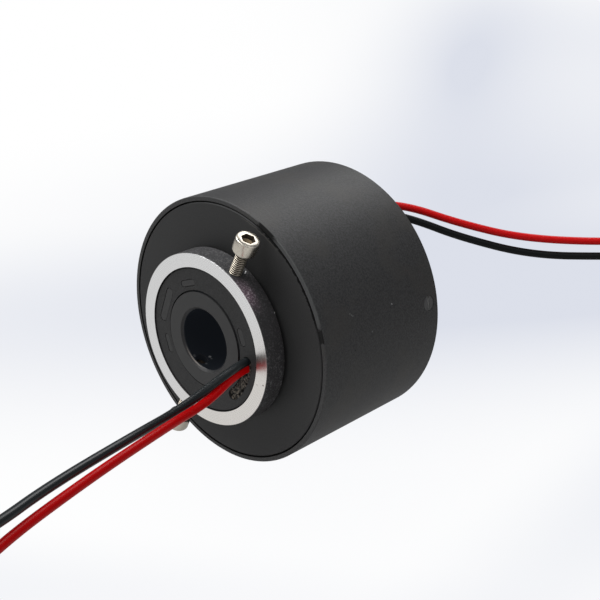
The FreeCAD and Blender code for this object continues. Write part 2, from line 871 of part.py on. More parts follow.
def make_cover_screws():
    members = []
    end = housing_radius - d.cover_screw_sink
    start = end - d.cover_screw_len
    for number in range(SIZES["cover_screw_count"]):
        shank = cylinder(f"cover_screw_shank_{number + 1}", d.cover_screw_dia / 2, d.cover_screw_len)
        bind(shank, "Placement.Base.z", start)
        slot = doc.addObject("Part::Box", f"cover_screw_slot_{number + 1}")
        bind(slot, "Length", d.cover_screw_dia * 2)
        bind(slot, "Width", d.driver_slot)
        bind(slot, "Height", d.driver_slot_depth)
        bind(slot, "Placement.Base.x", -d.cover_screw_dia)
        bind(slot, "Placement.Base.y", -d.driver_slot / 2)
        bind(slot, "Placement.Base.z", end - d.driver_slot_depth)
        screw = doc.addObject("Part::Cut", f"cover_screw_{number + 1}")
        screw.Base = shank
        screw.Tool = slot
        angle = d.cover_screw_angle + number * (360 / d.cover_screw_count)
        lie_radially(screw, angle, d.housing_len - d.cover_screw_back)
        members.append(screw)
    group("cover_screws", members)


def holder_screw_place():
    """Where the brush holder's legs are screwed: across and up, at the middle of a leg."""
    across = d.holder_half_width - d.holder_leg / 2
    up = web_height - d.holder_leg_drop / 2
    return across, up


def make_brush_holder():
    """An arched block under the drum's wall, with two legs that reach back to the rear cover."""
    body = new_body("brush_holder")
    sketch = new_sketch(body, "holder_sketch", "XZ_Plane", -holder_front)
    crown = inside_radius - d.holder_gap
    half = d.holder_half_width
    shoulder = math.degrees(math.acos(half.number / crown.number))
    height = math.sqrt(crown.number ** 2 - half.number ** 2)
    foot = web_height - d.holder_leg_drop
    inner = half - d.holder_leg
    corners = [
        (-half, foot),
        (-inner, foot),
        (-inner, web_height),
        (inner, web_height),
        (inner, foot),
        (half, foot),
    ]
    spots = [FreeCAD.Vector(a.number, b.number, 0) for a, b in corners]
    spots.append(FreeCAD.Vector(half.number, height, 0))
    spots.insert(0, FreeCAD.Vector(-half.number, height, 0))
    for i in range(len(spots) - 1):
        sketch.addGeometry(Part.LineSegment(spots[i], spots[i + 1]), False)
    arch = add_arc(sketch, (0, 0), crown, shoulder, 180 - shoulder)
    for i in range(len(spots) - 2):
        sketch.addConstraint(Sketcher.Constraint("Coincident", i, 2, i + 1, 1))
        fix_vertex(sketch, i, 2, *corners[i])
    sketch.addConstraint(Sketcher.Constraint("Coincident", len(spots) - 2, 2, arch, 1))
    sketch.addConstraint(Sketcher.Constraint("Coincident", 0, 1, arch, 2))
    sketch.addConstraint(Sketcher.Constraint("Vertical", 0))
    sketch.addConstraint(Sketcher.Constraint("Vertical", len(spots) - 2))
    extrude(body, "holder_pad", sketch, rear_plate - holder_front, other_way=True)
    relief = new_sketch(body, "holder_relief_sketch", "XZ_Plane", -holder_web_end)
    add_outline(relief, [
        (-inner, web_height - 1),
        (inner, web_height - 1),
        (inner, crown + 1),
        (-inner, crown + 1),
    ])
    extrude(body, "holder_relief", relief, rear_plate - holder_web_end, cut=True)
    across, up = holder_screw_place()
    holes = new_sketch(body, "holder_hole_sketch", "XZ_Plane", -rear_plate)
    for side in (-1, 1):
        add_circle(holes, across * side, up, d.holder_screw_dia / 2 + d.fit)
    depth = d.holder_screw_len - d.rear_seat + d.holder_screw_head + d.holder_screw_sink + 0.5
    extrude(body, "holder_holes", holes, depth, cut=True, other_way=True)
    pins = new_sketch(body, "rivet_hole_sketch", "XY_Plane", web_height)
    for side in (-1, 1):
        add_circle(pins, d.spring_offset * side, rivet_place, d.rivet_dia / 2 + d.fit)
    extrude(body, "rivet_holes", pins, d.rivet_depth, cut=True, other_way=True)


def make_holder_screws():
    members = []
    across, up = holder_screw_place()
    for number, side in enumerate((-1, 1), start=1):
        body = doc.addObject("PartDesign::Body", f"holder_screw_{number}")
        top = d.housing_len - d.holder_screw_sink
        under = top - d.holder_screw_head
        head = new_sketch(body, f"holder_screw_head_sketch_{number}", "XZ_Plane", -top)
        add_circle(head, across * side, up, d.holder_screw_head_dia / 2)
        extrude(body, f"holder_screw_head_{number}", head, d.holder_screw_head)
        shank = new_sketch(body, f"holder_screw_shank_sketch_{number}", "XZ_Plane", -under)
        add_circle(shank, across * side, up, d.holder_screw_dia / 2)
        extrude(body, f"holder_screw_shank_{number}", shank, d.holder_screw_len)
        slot = new_sketch(body, f"holder_screw_slot_sketch_{number}", "XZ_Plane", -top)
        half = d.driver_slot / 2
        reach = d.holder_screw_head_dia
        add_outline(slot, [
            (across * side - reach, up - half),
            (across * side + reach, up - half),
            (across * side + reach, up + half),
            (across * side - reach, up + half),
        ])
        depth = d.driver_slot_depth
        extrude(body, f"holder_screw_slot_{number}", slot, depth, cut=True, other_way=True)
        members.append(body)
    group("holder_screws", members)


def make_brush(label, middle):
    """A brush block whose lower face is hollowed to the contact ring."""
    body = new_body(label)
    sketch = new_sketch(body, f"{label}_sketch", "XZ_Plane", -(middle + d.brush_length / 2))
    track = ring_radius + d.brush_gap
    half = d.brush_width / 2
    top = track + brush_height
    swing = math.degrees(math.asin(half.number / track.number))
    foot = math.sqrt(track.number ** 2 - half.number ** 2)
    face = add_arc(sketch, (0, 0), track, 90 - swing, 90 + swing)
    spots = [
        FreeCAD.Vector(-half.number, foot, 0),
        FreeCAD.Vector(-half.number, top.number, 0),
        FreeCAD.Vector(half.number, top.number, 0),
        FreeCAD.Vector(half.number, foot, 0),
    ]
    lines = [
        sketch.addGeometry(Part.LineSegment(spots[i], spots[i + 1]), False) for i in range(3)
    ]
    sketch.addConstraint(Sketcher.Constraint("Coincident", lines[0], 1, face, 2))
    sketch.addConstraint(Sketcher.Constraint("Coincident", lines[0], 2, lines[1], 1))
    sketch.addConstraint(Sketcher.Constraint("Coincident", lines[1], 2, lines[2], 1))
    sketch.addConstraint(Sketcher.Constraint("Coincident", lines[2], 2, face, 1))
    sketch.addConstraint(Sketcher.Constraint("Vertical", lines[0]))
    sketch.addConstraint(Sketcher.Constraint("Vertical", lines[2]))
    fix_vertex(sketch, lines[1], 1, -half, top)
    fix_vertex(sketch, lines[1], 2, half, top)
    extrude(body, f"{label}_pad", sketch, d.brush_length)


def make_brush_spring(label, middle, side):
    """A bent leaf: flat over the brush, sloping up to a strip under the holder that ends in a tab."""
    body = new_body(label)
    arm = new_sketch(body, f"{label}_arm_sketch", "XZ_Plane", -(middle + d.spring_width / 2))
    low = ring_radius + d.brush_gap + brush_height
    high = web_height - d.spring_thick
    half = d.brush_width / 2
    near = d.spring_offset - d.spring_width / 2
    far = d.spring_offset + d.spring_width / 2
    thick = d.spring_thick
    profile = [
        (-half, low),
        (half, low),
        (near + thick, high),
        (far, high),
        (far, high + thick),
        (near, high + thick),
        (half - thick, low + thick),
        (-half, low + thick),
    ]
    add_outline(arm, [(as_length(a) * side, b) for a, b in profile])
    extrude(body, f"{label}_arm", arm, d.spring_width)
    strip = new_sketch(body, f"{label}_strip_sketch", "XY_Plane", high)
    start = min(middle.number, rivet_place.number)
    begin = middle if start == middle.number else rivet_place
    add_outline(strip, [
        (near * side, begin - d.spring_width / 2),
        (far * side, begin - d.spring_width / 2),
        (far * side, holder_web_end + d.tab_length),
        (near * side, holder_web_end + d.tab_length),
    ])
    extrude(body, f"{label}_strip", strip, thick)
    hole = new_sketch(body, f"{label}_hole_sketch", "XY_Plane", high)
    add_circle(hole, d.spring_offset * side, rivet_place, d.rivet_dia / 2 + d.fit)
    extrude(body, f"{label}_hole", hole, thick, cut=True, other_way=True)


def make_terminal_rivets():
    members = []
    base = web_height - d.spring_thick - d.rivet_head
    for number, side in enumerate((-1, 1), start=1):
        head = cylinder(f"rivet_head_{number}", d.rivet_head_dia / 2, d.rivet_head)
        pin_length = d.rivet_head + d.spring_thick + d.rivet_depth - d.fit
        pin = cylinder(f"rivet_pin_{number}", d.rivet_dia / 2, pin_length)
        for piece in (head, pin):
            bind(piece, "Placement.Base.x", d.spring_offset * side)
            bind(piece, "Placement.Base.y", rivet_place)
            bind(piece, "Placement.Base.z", base)
        rivet = doc.addObject("Part::Fuse", f"rivet_{number}")
        rivet.Base = head
        rivet.Tool = pin
        members.append(rivet)
    group("terminal_rivets", members)


def make_lead_grommet():
    """The soft bush in the rear cover that the two rear leads leave through."""
    body = new_body("lead_grommet")
    rear = d.housing_len + d.grommet_flange_thick
    stem_radius = d.lead_dia / 2 + d.grommet_wall
    flange = new_sketch(body, "grommet_flange_sketch", "XZ_Plane", -rear)
    flange_radius = stem_radius + d.grommet_flange
    add_oblong(flange, 0, grommet_height, d.grommet_spacing, flange_radius)
    extrude(body, "grommet_flange", flange, d.grommet_flange_thick)
    stem = new_sketch(body, "grommet_stem_sketch", "XZ_Plane", -d.housing_len)
    add_oblong(stem, 0, grommet_height, d.grommet_spacing, stem_radius)
    extrude(body, "grommet_stem", stem, d.rear_seat)
    holes = new_sketch(body, "grommet_hole_sketch", "XZ_Plane", -rear)
    for side in (-1, 1):
        across = d.grommet_spacing / 2 * side
        add_circle(holes, across, grommet_height, d.lead_dia / 2 + d.lead_fit)
    extrude(body, "grommet_holes", holes, rear - rear_plate, cut=True, other_way=True)


def rounded_path(points, largest=None):
    """Straight runs joined by tangent arcs, each arc 0.45 of its shorter run over the half-turn's tangent."""
    points = [FreeCAD.Vector(*point) for point in points]
    edges = []
    radii = []
    start = points[0]
    for before, corner, after in zip(points, points[1:], points[2:]):
        back, ahead = before - corner, after - corner
        half_turn = (math.pi - back.getAngle(ahead)) / 2
        radius = 0.45 * min(back.Length, ahead.Length) / math.tan(half_turn)
        if largest is not None:
            radius = min(radius, largest)
        setback = radius * math.tan(half_turn)
        back.normalize()
        ahead.normalize()
        arc_start, arc_end = corner + back * setback, corner + ahead * setback
        bisector = (back + ahead).normalize()
        middle = corner + bisector * (radius / math.cos(half_turn) - radius)
        edges.append(Part.LineSegment(start, arc_start).toShape())
        edges.append(Part.Arc(arc_start, middle, arc_end).toShape())
        radii.append(radius)
        start = arc_end
    edges.append(Part.LineSegment(start, points[-1]).toShape())
    return Part.Wire(edges), radii


def tube_along(wire, radius):
    """A round solid along a wire, with flat ends."""
    first = wire.Edges[0]
    circle = Part.Circle(first.valueAt(first.FirstParameter), first.tangentAt(first.FirstParameter), radius)
    return wire.makePipeShell([Part.Wire(circle.toShape())], True, False)


def new_shape(label, shape):
    feature = doc.addObject("Part::Feature", label)
    feature.Label = label
    feature.Shape = shape
    nodes.append(feature)
    return feature


def sheet_number(alias):
    return float(sheet.get(alias))


def make_inner_lead(label, points, largest):
    """A lead's hidden stretch inside the slip ring."""
    wire, _ = rounded_path(points, largest)
    new_shape(label, tube_along(wire, sheet_number("lead_dia") / 2))


def make_free_lead(label, route, side):
    """A free lead: its tube, and its unseen length as a coil hanging from the tube's end, with a tie."""
    radius = sheet_number("lead_dia") / 2
    skin = sheet_number("coil_skin")
    wire, radii = rounded_path(route)
    tube = tube_along(wire, radius)
    new_shape(label, tube)
    section = math.pi * radius ** 2 * wire.Length
    print(label, "length", round(wire.Length, 1), "radii", [round(r, 1) for r in radii])
    print(label, "volume over section times length", round(tube.Volume / section, 4))

    turns = sheet_number("coil_turns")
    spare = sheet_number("lead_length") - wire.Length
    spare -= sheet_number("tail_length") + sheet_number("stripped_length")
    middle_radius = spare / (2 * math.pi * turns)
    print(label, "coil diameters across", round(middle_radius / radius, 1))
    end, before = FreeCAD.Vector(*route[-1]), FreeCAD.Vector(*route[-2])
    ahead = (end - before).normalize()
    up = FreeCAD.Vector(0, 0, 1)
    sideways = ahead.cross(up) * side
    centre = end - up * middle_radius
    inner = middle_radius - radius - skin
    outer = middle_radius + radius + skin
    width = sheet_number("coil_pitch") * turns + 2 * (radius + skin)
    base = centre - sideways * (radius + skin)
    ring = Part.makeCylinder(outer, width, base, sideways)
    coil = ring.cut(Part.makeCylinder(inner, width, base, sideways))
    new_shape(f"{label}_coil", coil)

    bundle = base + sideways * (width / 2) - up * middle_radius
    tie = tie_band(width, outer - inner)
    tie.Placement = FreeCAD.Placement(bundle, FreeCAD.Rotation(ahead, sideways, up))
    new_shape(f"{label}_tie", tie)

    last_turn = base + sideways * (width - radius - skin)
    outwards = -ahead
    tip = last_turn + outwards * (outer + radius + skin) + up * sheet_number("tail_length") * 0.7
    return Part.makeCylinder(
        sheet_number("stripped_dia") / 2,
        sheet_number("stripped_length"),
        tip,
        (up + outwards * 0.35).normalize(),
    )


def centred_block(along, across, high):
    corner = FreeCAD.Vector(-along / 2, -across / 2, -high / 2)
    return Part.makeBox(along, across, high, corner)


def tie_band(width, height):
    """A flat band round a coil's bundle, built at the origin with the bundle running along X."""
    band, thick = sheet_number("tie_width"), sheet_number("tie_thick")
    clear = sheet_number("tie_clearance")
    outside = centred_block(band, width + 2 * (clear + thick), height + 2 * (clear + thick))
    return outside.cut(centred_block(2 * band, width + 2 * clear, height + 2 * clear))


def make_inner_leads():
    rings = {"black": front_ring + d.ring_width / 2, "red": rear_ring + d.ring_width / 2}
    for colour, lead in FRONT_LEADS.items():
        across, start, up = lead["route"][0]
        distance = math.hypot(across, up)
        out_x, out_z = across / distance, up / distance
        place = rings[colour].number
        reach = core_radius.number - 0.05
        points = [(across, start, up), (across, place, up), (out_x * reach, place, out_z * reach)]
        make_inner_lead(f"rotor_lead_{colour}", points, sheet_number("lead_dia"))
    half = d.grommet_spacing.number / 2
    height = grommet_height.number
    tab = web_height.number - d.spring_thick.number - d.lead_dia.number / 2 - d.lead_fit.number * 2
    rear = d.housing_len.number + d.grommet_flange_thick.number
    plate = rear_plate.number
    bend = d.spring_offset.number - d.tab_length.number
    for colour, side in (("red", -1), ("black", 1)):
        points = [
            (half * side, rear, height),
            (half * side, plate - d.lead_dia.number, height),
            (bend * side, holder_web_end.number + d.lead_dia.number, tab),
            (d.spring_offset.number * side, holder_web_end.number - d.tab_length.number / 2, tab),
        ]
        make_inner_lead(f"stator_lead_{colour}", points, sheet_number("lead_dia"))


def make_free_leads():
    for place, leads in (("front", FRONT_LEADS), ("rear", REAR_LEADS)):
        ends = [
            make_free_lead(f"{place}_lead_{colour}", lead["route"], lead["side"])
            for colour, lead in leads.items()
        ]
        new_shape(f"{place}_lead_ends", Part.makeCompound(ends))


def check_and_export():
    """Recompute, stop on any failed piece, and write each node's solid."""
    doc.recompute()
    failed = [t.Name for t in doc.Objects if "Invalid" in t.State or "Error" in t.State]
    if failed:
        raise RuntimeError(f"failed: {failed}")
    os.makedirs("parts", exist_ok=True)
    for node in nodes:
        shape = node.Shape
        if shape.isNull() or not shape.isValid() or shape.Volume <= 0:
            raise RuntimeError(f"{node.Label} has no sound solid")
        shape.exportStep(f"parts/{node.Label}.step")
        print(node.Label, "solids", len(shape.Solids), "volume", round(shape.Volume, 2))


make_shaft_tube()
make_rotor_core()
make_channel_plugs()
make_lead_potting()
make_clamp_collar()
make_turned_ring("front_spacer", seat_radius, d.spacer_dia / 2, -d.collar_gap, front_bearing)
make_bearing("front_bearing", front_bearing)
make_barrier("front_barrier", stack_start, front_ring, False, True)
make_turned_ring("front_slip_ring", seat_radius, ring_radius, front_ring, middle_barrier)
make_barrier("middle_barrier", middle_barrier, rear_ring, True, True)
make_turned_ring("rear_slip_ring", seat_radius, ring_radius, rear_ring, rear_barrier)
make_barrier("rear_barrier", rear_barrier, rear_bearing, True, False)
make_bearing("rear_bearing", rear_bearing)
make_retaining_ring()
make_clamp_screw("clamp_screw_upper", d.clamp_angle)
make_clamp_screw("clamp_screw_lower", d.clamp_angle - 180)
make_housing()
make_front_cover()
make_rear_cover()
make_cover_screws()
make_brush_holder()
make_holder_screws()
make_brush("front_brush", front_ring + d.ring_width / 2)
make_brush("rear_brush", rear_ring + d.ring_width / 2)
make_brush_spring("front_brush_spring", front_ring + d.ring_width / 2, 1)
make_brush_spring("rear_brush_spring", rear_ring + d.ring_width / 2, -1)
make_terminal_rivets()
make_lead_grommet()
make_inner_leads()
make_free_leads()
check_and_export()
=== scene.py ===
import json
import math

import bmesh
import bpy
from mathutils import Matrix, Vector, noise


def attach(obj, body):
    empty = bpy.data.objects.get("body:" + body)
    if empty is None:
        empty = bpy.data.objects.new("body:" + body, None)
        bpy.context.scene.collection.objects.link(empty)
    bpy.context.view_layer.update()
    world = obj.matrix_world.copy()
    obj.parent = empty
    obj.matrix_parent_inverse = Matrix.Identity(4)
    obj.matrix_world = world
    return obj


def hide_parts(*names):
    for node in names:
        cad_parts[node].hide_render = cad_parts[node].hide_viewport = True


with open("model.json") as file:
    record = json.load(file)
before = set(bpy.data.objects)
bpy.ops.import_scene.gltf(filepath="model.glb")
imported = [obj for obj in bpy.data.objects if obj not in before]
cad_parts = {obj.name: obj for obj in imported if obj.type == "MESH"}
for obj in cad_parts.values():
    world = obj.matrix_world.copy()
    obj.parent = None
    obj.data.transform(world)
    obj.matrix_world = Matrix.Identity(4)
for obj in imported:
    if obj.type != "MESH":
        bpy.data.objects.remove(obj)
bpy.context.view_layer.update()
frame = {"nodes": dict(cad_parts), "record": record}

MM = 0.001
scene = bpy.context.scene

# sizes shared with the solids
HOUSING_RADIUS = 28.0 * MM
RIM_INSIDE = HOUSING_RADIUS - 0.93 * MM
COLLAR_FACE = -5.65 * MM
BORE_RADIUS = 6.35 * MM
TUBE_FACE = -5.45 * MM
CORE_FACE = -5.45 * MM
CORE_RADIUS = 15.0 * MM
SLOT_RADIUS = 12.3 * MM
SLOT_WIDTH = 2.31 * MM
SLOT_ANGLES = (-49.5, -4.0)
FILLING_FACE = -4.9 * MM
COLLAR_RADIUS = 18.0 * MM
CLAMP_ANGLE = math.radians(64.0)
CLAMP_PLANE = -3.82 * MM
SCREW_TIP = 7.4 * MM
SCREW_TIP_LENGTH = 0.25 * MM
SCREW_TIP_RADIUS = 0.72 * MM
SCREW_SHANK = 16.0 * MM
SCREW_HEAD = 3.1 * MM
SCREW_HEAD_RADIUS = 2.4 * MM
SCREW_THREAD_RADIUS = 1.25 * MM
SCREW_THREAD_ROOT = 1.02 * MM
SCREW_PITCH = 0.45 * MM
SOCKET_ACROSS = 2.5 * MM
SOCKET_DEPTH = 0.95 * MM
SOCKET_TURN = math.radians(34.0)
LEAD_DIAMETER = 1.7 * MM
LEAD_LENGTH = 250.0 * MM
LEAD_BEND_SHARE = 0.45
COIL_TURNS = 2.75
COIL_PITCH = 1.75 * MM
COIL_POINTS = 16
COIL_CLEARANCE = 0.1 * MM
TAIL_LENGTH = 4.5 * MM
STRIPPED_LENGTH = 5.0 * MM
STRIPPED_DIAMETER = 1.1 * MM

# looks that more than one material has
# near-black for painted shade and for near-black patches, with a dull roughness
PAINTED_SHADE_AND_MARK_BLACK = (0.0012, 0.0012, 0.0012)
SHADE_AND_MARK_ROUGHNESS = 0.95
NO_LIGHT = (0.0, 0.0, 0.0)


# camera
def place_camera():
    data = bpy.data.cameras.new("camera")
    data.sensor_width = 36.0
    data.lens = 68.47
    data.clip_start = 0.005
    data.clip_end = 50.0
    camera = bpy.data.objects.new("camera", data)
    camera.location = (0.155868, -0.140931, 0.095658)
    aim = Vector((-0.63635, 0.66571, -0.38972))
    camera.rotation_euler = aim.to_track_quat("-Z", "Y").to_euler()
    scene.collection.objects.link(camera)
    scene.camera = camera


place_camera()


# node helpers
def new_material(name):
    material = bpy.data.materials.new(name)
    material.use_nodes = True
    tree = material.node_tree
    shader = tree.nodes["Principled BSDF"]
    return material, tree, shader


def add(tree, kind, **settings):
    node = tree.nodes.new(kind)
    for key, value in settings.items():
        setattr(node, key, value)
    return node


def set_inputs(node, **values):
    for key, value in values.items():
        node.inputs[key.replace("_", " ")].default_value = value


def feed(tree, socket, value):
    """Give a socket a number, a colour or a vector, or link another socket to it."""
    if isinstance(value, bpy.types.NodeSocket):
        tree.links.new(value, socket)
    else:
        socket.default_value = value


def math_node(tree, operation, *values):
    node = add(tree, "ShaderNodeMath", operation=operation)
    for socket, value in zip(node.inputs, values):
        feed(tree, socket, value)
    return node.outputs[0]


def mix_colour(tree, share, first, second):
    """The first colour where the share is 0, the second where it is 1."""
    node = add(tree, "ShaderNodeMix", data_type="RGBA")
    feed(tree, node.inputs[0], share)
    for socket, value in ((node.inputs[6], first), (node.inputs[7], second)):
        feed(tree, socket, (*value, 1.0) if isinstance(value, tuple) else value)
    return node.outputs[2]


def mix_value(tree, share, first, second):
    """The first number where the share is 0, the second where it is 1."""
    node = add(tree, "ShaderNodeMix", data_type="FLOAT")
    for socket, value in ((node.inputs[0], share), (node.inputs[2], first), (node.inputs[3], second)):
        feed(tree, socket, value)
    return node.outputs[0]


def object_place(tree):
    return add(tree, "ShaderNodeTexCoord").outputs["Object"]


def object_parts(tree):
    """A surface place's X, Y and Z; the bore's axis lies along Y."""
    parts = add(tree, "ShaderNodeSeparateXYZ")
    tree.links.new(object_place(tree), parts.inputs[0])
    return parts.outputs


def product(tree, first, second):
    return math_node(tree, "MULTIPLY", first, second)


def clouds_of(tree, scale, detail, roughness=0.5):
    """Noise over the surface, from 0 to 1."""
    node = add(tree, "ShaderNodeTexNoise")
    set_inputs(node, Scale=scale, Detail=detail, Roughness=roughness)
    tree.links.new(object_place(tree), node.inputs["Vector"])
    return node.outputs["Fac"]


def ranged(tree, value, low, high, start=0.0, end=1.0, way="LINEAR"):
    """A value that goes from low to high, told as start to end."""
    node = add(tree, "ShaderNodeMapRange", interpolation_type=way)
    set_inputs(node, From_Min=low, From_Max=high, To_Min=start, To_Max=end)
    tree.links.new(value, node.inputs["Value"])
    return node.outputs["Result"]


def band(tree, value, low, high, soft):
    """A mask that is 1 between two values and fades to 0 over a soft edge."""
    rise = ranged(tree, value, low - soft, low + soft, way="SMOOTHSTEP")
    fall = ranged(tree, value, high - soft, high + soft, 1.0, 0.0, "SMOOTHSTEP")
    return product(tree, rise, fall)


def radius_from_axis(tree, parts):
    """How far a place on the surface lies from the bore's axis."""
    across = product(tree, parts["X"], parts["X"])
    up = product(tree, parts["Z"], parts["Z"])
    return math_node(tree, "SQRT", math_node(tree, "ADD", across, up))


def angle_round_axis(tree, parts):
    """The angle round the bore's axis in degrees, from +X towards +Z."""
    return math_node(tree, "DEGREES", math_node(tree, "ARCTAN2", parts["Z"], parts["X"]))


def distance_from_line(tree, point, direction):
    """How far a place on the surface lies from a straight line."""
    shifted = add(tree, "ShaderNodeVectorMath", operation="SUBTRACT")
    tree.links.new(object_place(tree), shifted.inputs[0])
    shifted.inputs[1].default_value = point
    along = add(tree, "ShaderNodeVectorMath", operation="CROSS_PRODUCT")
    tree.links.new(shifted.outputs[0], along.inputs[0])
    along.inputs[1].default_value = direction
    length = add(tree, "ShaderNodeVectorMath", operation="LENGTH")
    tree.links.new(along.outputs[0], length.inputs[0])
    return length.outputs["Value"]


def grey(level):
    return (level, level, level)


def on_cylinder(angle, along, radius=HOUSING_RADIUS):
    """A place on a cylinder round the bore's axis: degrees from +X towards +Z, and millimetres."""
    angle = math.radians(angle)
    return (radius * math.cos(angle), along * MM, radius * math.sin(angle))


def begin_group(name, inputs, outputs):
    group = bpy.data.node_groups.new(name, "ShaderNodeTree")
    for label, kind, default in inputs:
        socket = group.interface.new_socket(label, in_out="INPUT", socket_type=kind)
        socket.default_value = default
    for label, kind in outputs:
        group.interface.new_socket(label, in_out="OUTPUT", socket_type=kind)
    return group, add(group, "NodeGroupInput"), add(group, "NodeGroupOutput")


def use_group(tree, group, **values):
    node = add(tree, "ShaderNodeGroup", node_tree=group)
    for key, value in values.items():
        feed(tree, node.inputs[key], value)
    return node


# shared effects
def relief(group, entry, leave, noise_node):
    """The group's normal, from its noise and its Strength and Depth."""
    bump = add(group, "ShaderNodeBump")
    group.links.new(entry.outputs["Strength"], bump.inputs["Strength"])
    group.links.new(entry.outputs["Depth"], bump.inputs["Distance"])
    group.links.new(noise_node.outputs["Fac"], bump.inputs["Height"])
    group.links.new(bump.outputs["Normal"], leave.inputs["Normal"])


def make_grain_group():
    """Fine even grain, as bead blasting or a moulded texture leaves: a normal and a 0 to 1 mask."""
    group, entry, leave = begin_group(
        "fine_grain",
        [
            ("Scale", "NodeSocketFloat", 3500.0),
            ("Strength", "NodeSocketFloat", 0.3),
            ("Depth", "NodeSocketFloat", 0.03 * MM),
        ],
        [("Normal", "NodeSocketVector"), ("Mask", "NodeSocketFloat")],
    )
    grains = add(group, "ShaderNodeTexNoise")
    set_inputs(grains, Detail=3.0, Roughness=0.6)
    group.links.new(object_place(group), grains.inputs["Vector"])
    group.links.new(entry.outputs["Scale"], grains.inputs["Scale"])
    relief(group, entry, leave, grains)
    mask = ranged(group, grains.outputs["Fac"], 0.35, 0.65)
    group.links.new(mask, leave.inputs["Mask"])
    return group


def make_spot_group():
    """A soft-edged irregular spot round a point: 1 at its middle, 0 outside its radius."""
    group, entry, leave = begin_group(
        "spot",
        [
            ("Centre", "NodeSocketVector", (0.0, 0.0, 0.0)),
            ("Radius", "NodeSocketFloat", 0.3 * MM),
            ("Raggedness", "NodeSocketFloat", 0.9),
        ],
        [("Mask", "NodeSocketFloat")],
    )
    away = add(group, "ShaderNodeVectorMath", operation="DISTANCE")
    group.links.new(object_place(group), away.inputs[0])
    group.links.new(entry.outputs["Centre"], away.inputs[1])
    share = math_node(group, "DIVIDE", away.outputs["Value"], entry.outputs["Radius"])
    shift = math_node(group, "SUBTRACT", clouds_of(group, 5000.0, 2.0), 0.5)
    shift = product(group, shift, entry.outputs["Raggedness"])
    mask = ranged(group, math_node(group, "ADD", share, shift), 0.75, 1.0, 1.0, 0.0, "SMOOTHSTEP")
    group.links.new(mask, leave.inputs["Mask"])
    return group


def make_turned_group():
    """Fine turning marks round the bore's axis: a normal and a mask that vary with the radius."""
    group, entry, leave = begin_group(
        "turned_marks",
        [
            ("Scale", "NodeSocketFloat", 9000.0),
            ("Strength", "NodeSocketFloat", 0.15),
            ("Depth", "NodeSocketFloat", 0.02 * MM),
        ],
        [("Normal", "NodeSocketVector"), ("Mask", "NodeSocketFloat")],
    )
    parts = object_parts(group)
    along = add(group, "ShaderNodeCombineXYZ")
    group.links.new(radius_from_axis(group, parts), along.inputs["X"])
    group.links.new(parts["Y"], along.inputs["Y"])
    lines = add(group, "ShaderNodeTexNoise")
    set_inputs(lines, Detail=4.0, Roughness=0.7)
    group.links.new(along.outputs[0], lines.inputs["Vector"])
    group.links.new(entry.outputs["Scale"], lines.inputs["Scale"])
    relief(group, entry, leave, lines)
    group.links.new(lines.outputs["Fac"], leave.inputs["Mask"])
    return group


grain_group = make_grain_group()
spot_group = make_spot_group()
turned_group = make_turned_group()


# materials
def grained_surface(name, colour, roughness, scale, strength, depth, lighter, specular=0.5):
    """A surface with fine grain; the high points are a little lighter and smoother."""
    material, tree, shader = new_material(name)
    grain = use_group(tree, grain_group, Scale=scale, Strength=strength, Depth=depth)
    light = tuple(channel * lighter for channel in colour)
    tint = mix_colour(tree, grain.outputs["Mask"], colour, light)
    tree.links.new(tint, shader.inputs["Base Color"])
    rough = mix_value(tree, grain.outputs["Mask"], roughness, roughness - 0.06)
    tree.links.new(rough, shader.inputs["Roughness"])
    tree.links.new(grain.outputs["Normal"], shader.inputs["Normal"])
    shader.inputs["Specular IOR Level"].default_value = specular
    return material, tree, shader, tint


def add_spots(tree, shader, tint, spots):
    """Mix small marks into the base colour. Each is a place, a radius in millimetres and a colour."""
    for centre, radius, colour in spots:
        spot = use_group(tree, spot_group, Centre=centre, Radius=radius * MM)
        tint = mix_colour(tree, spot.outputs["Mask"], tint, colour)
    tree.links.new(tint, shader.inputs["Base Color"])


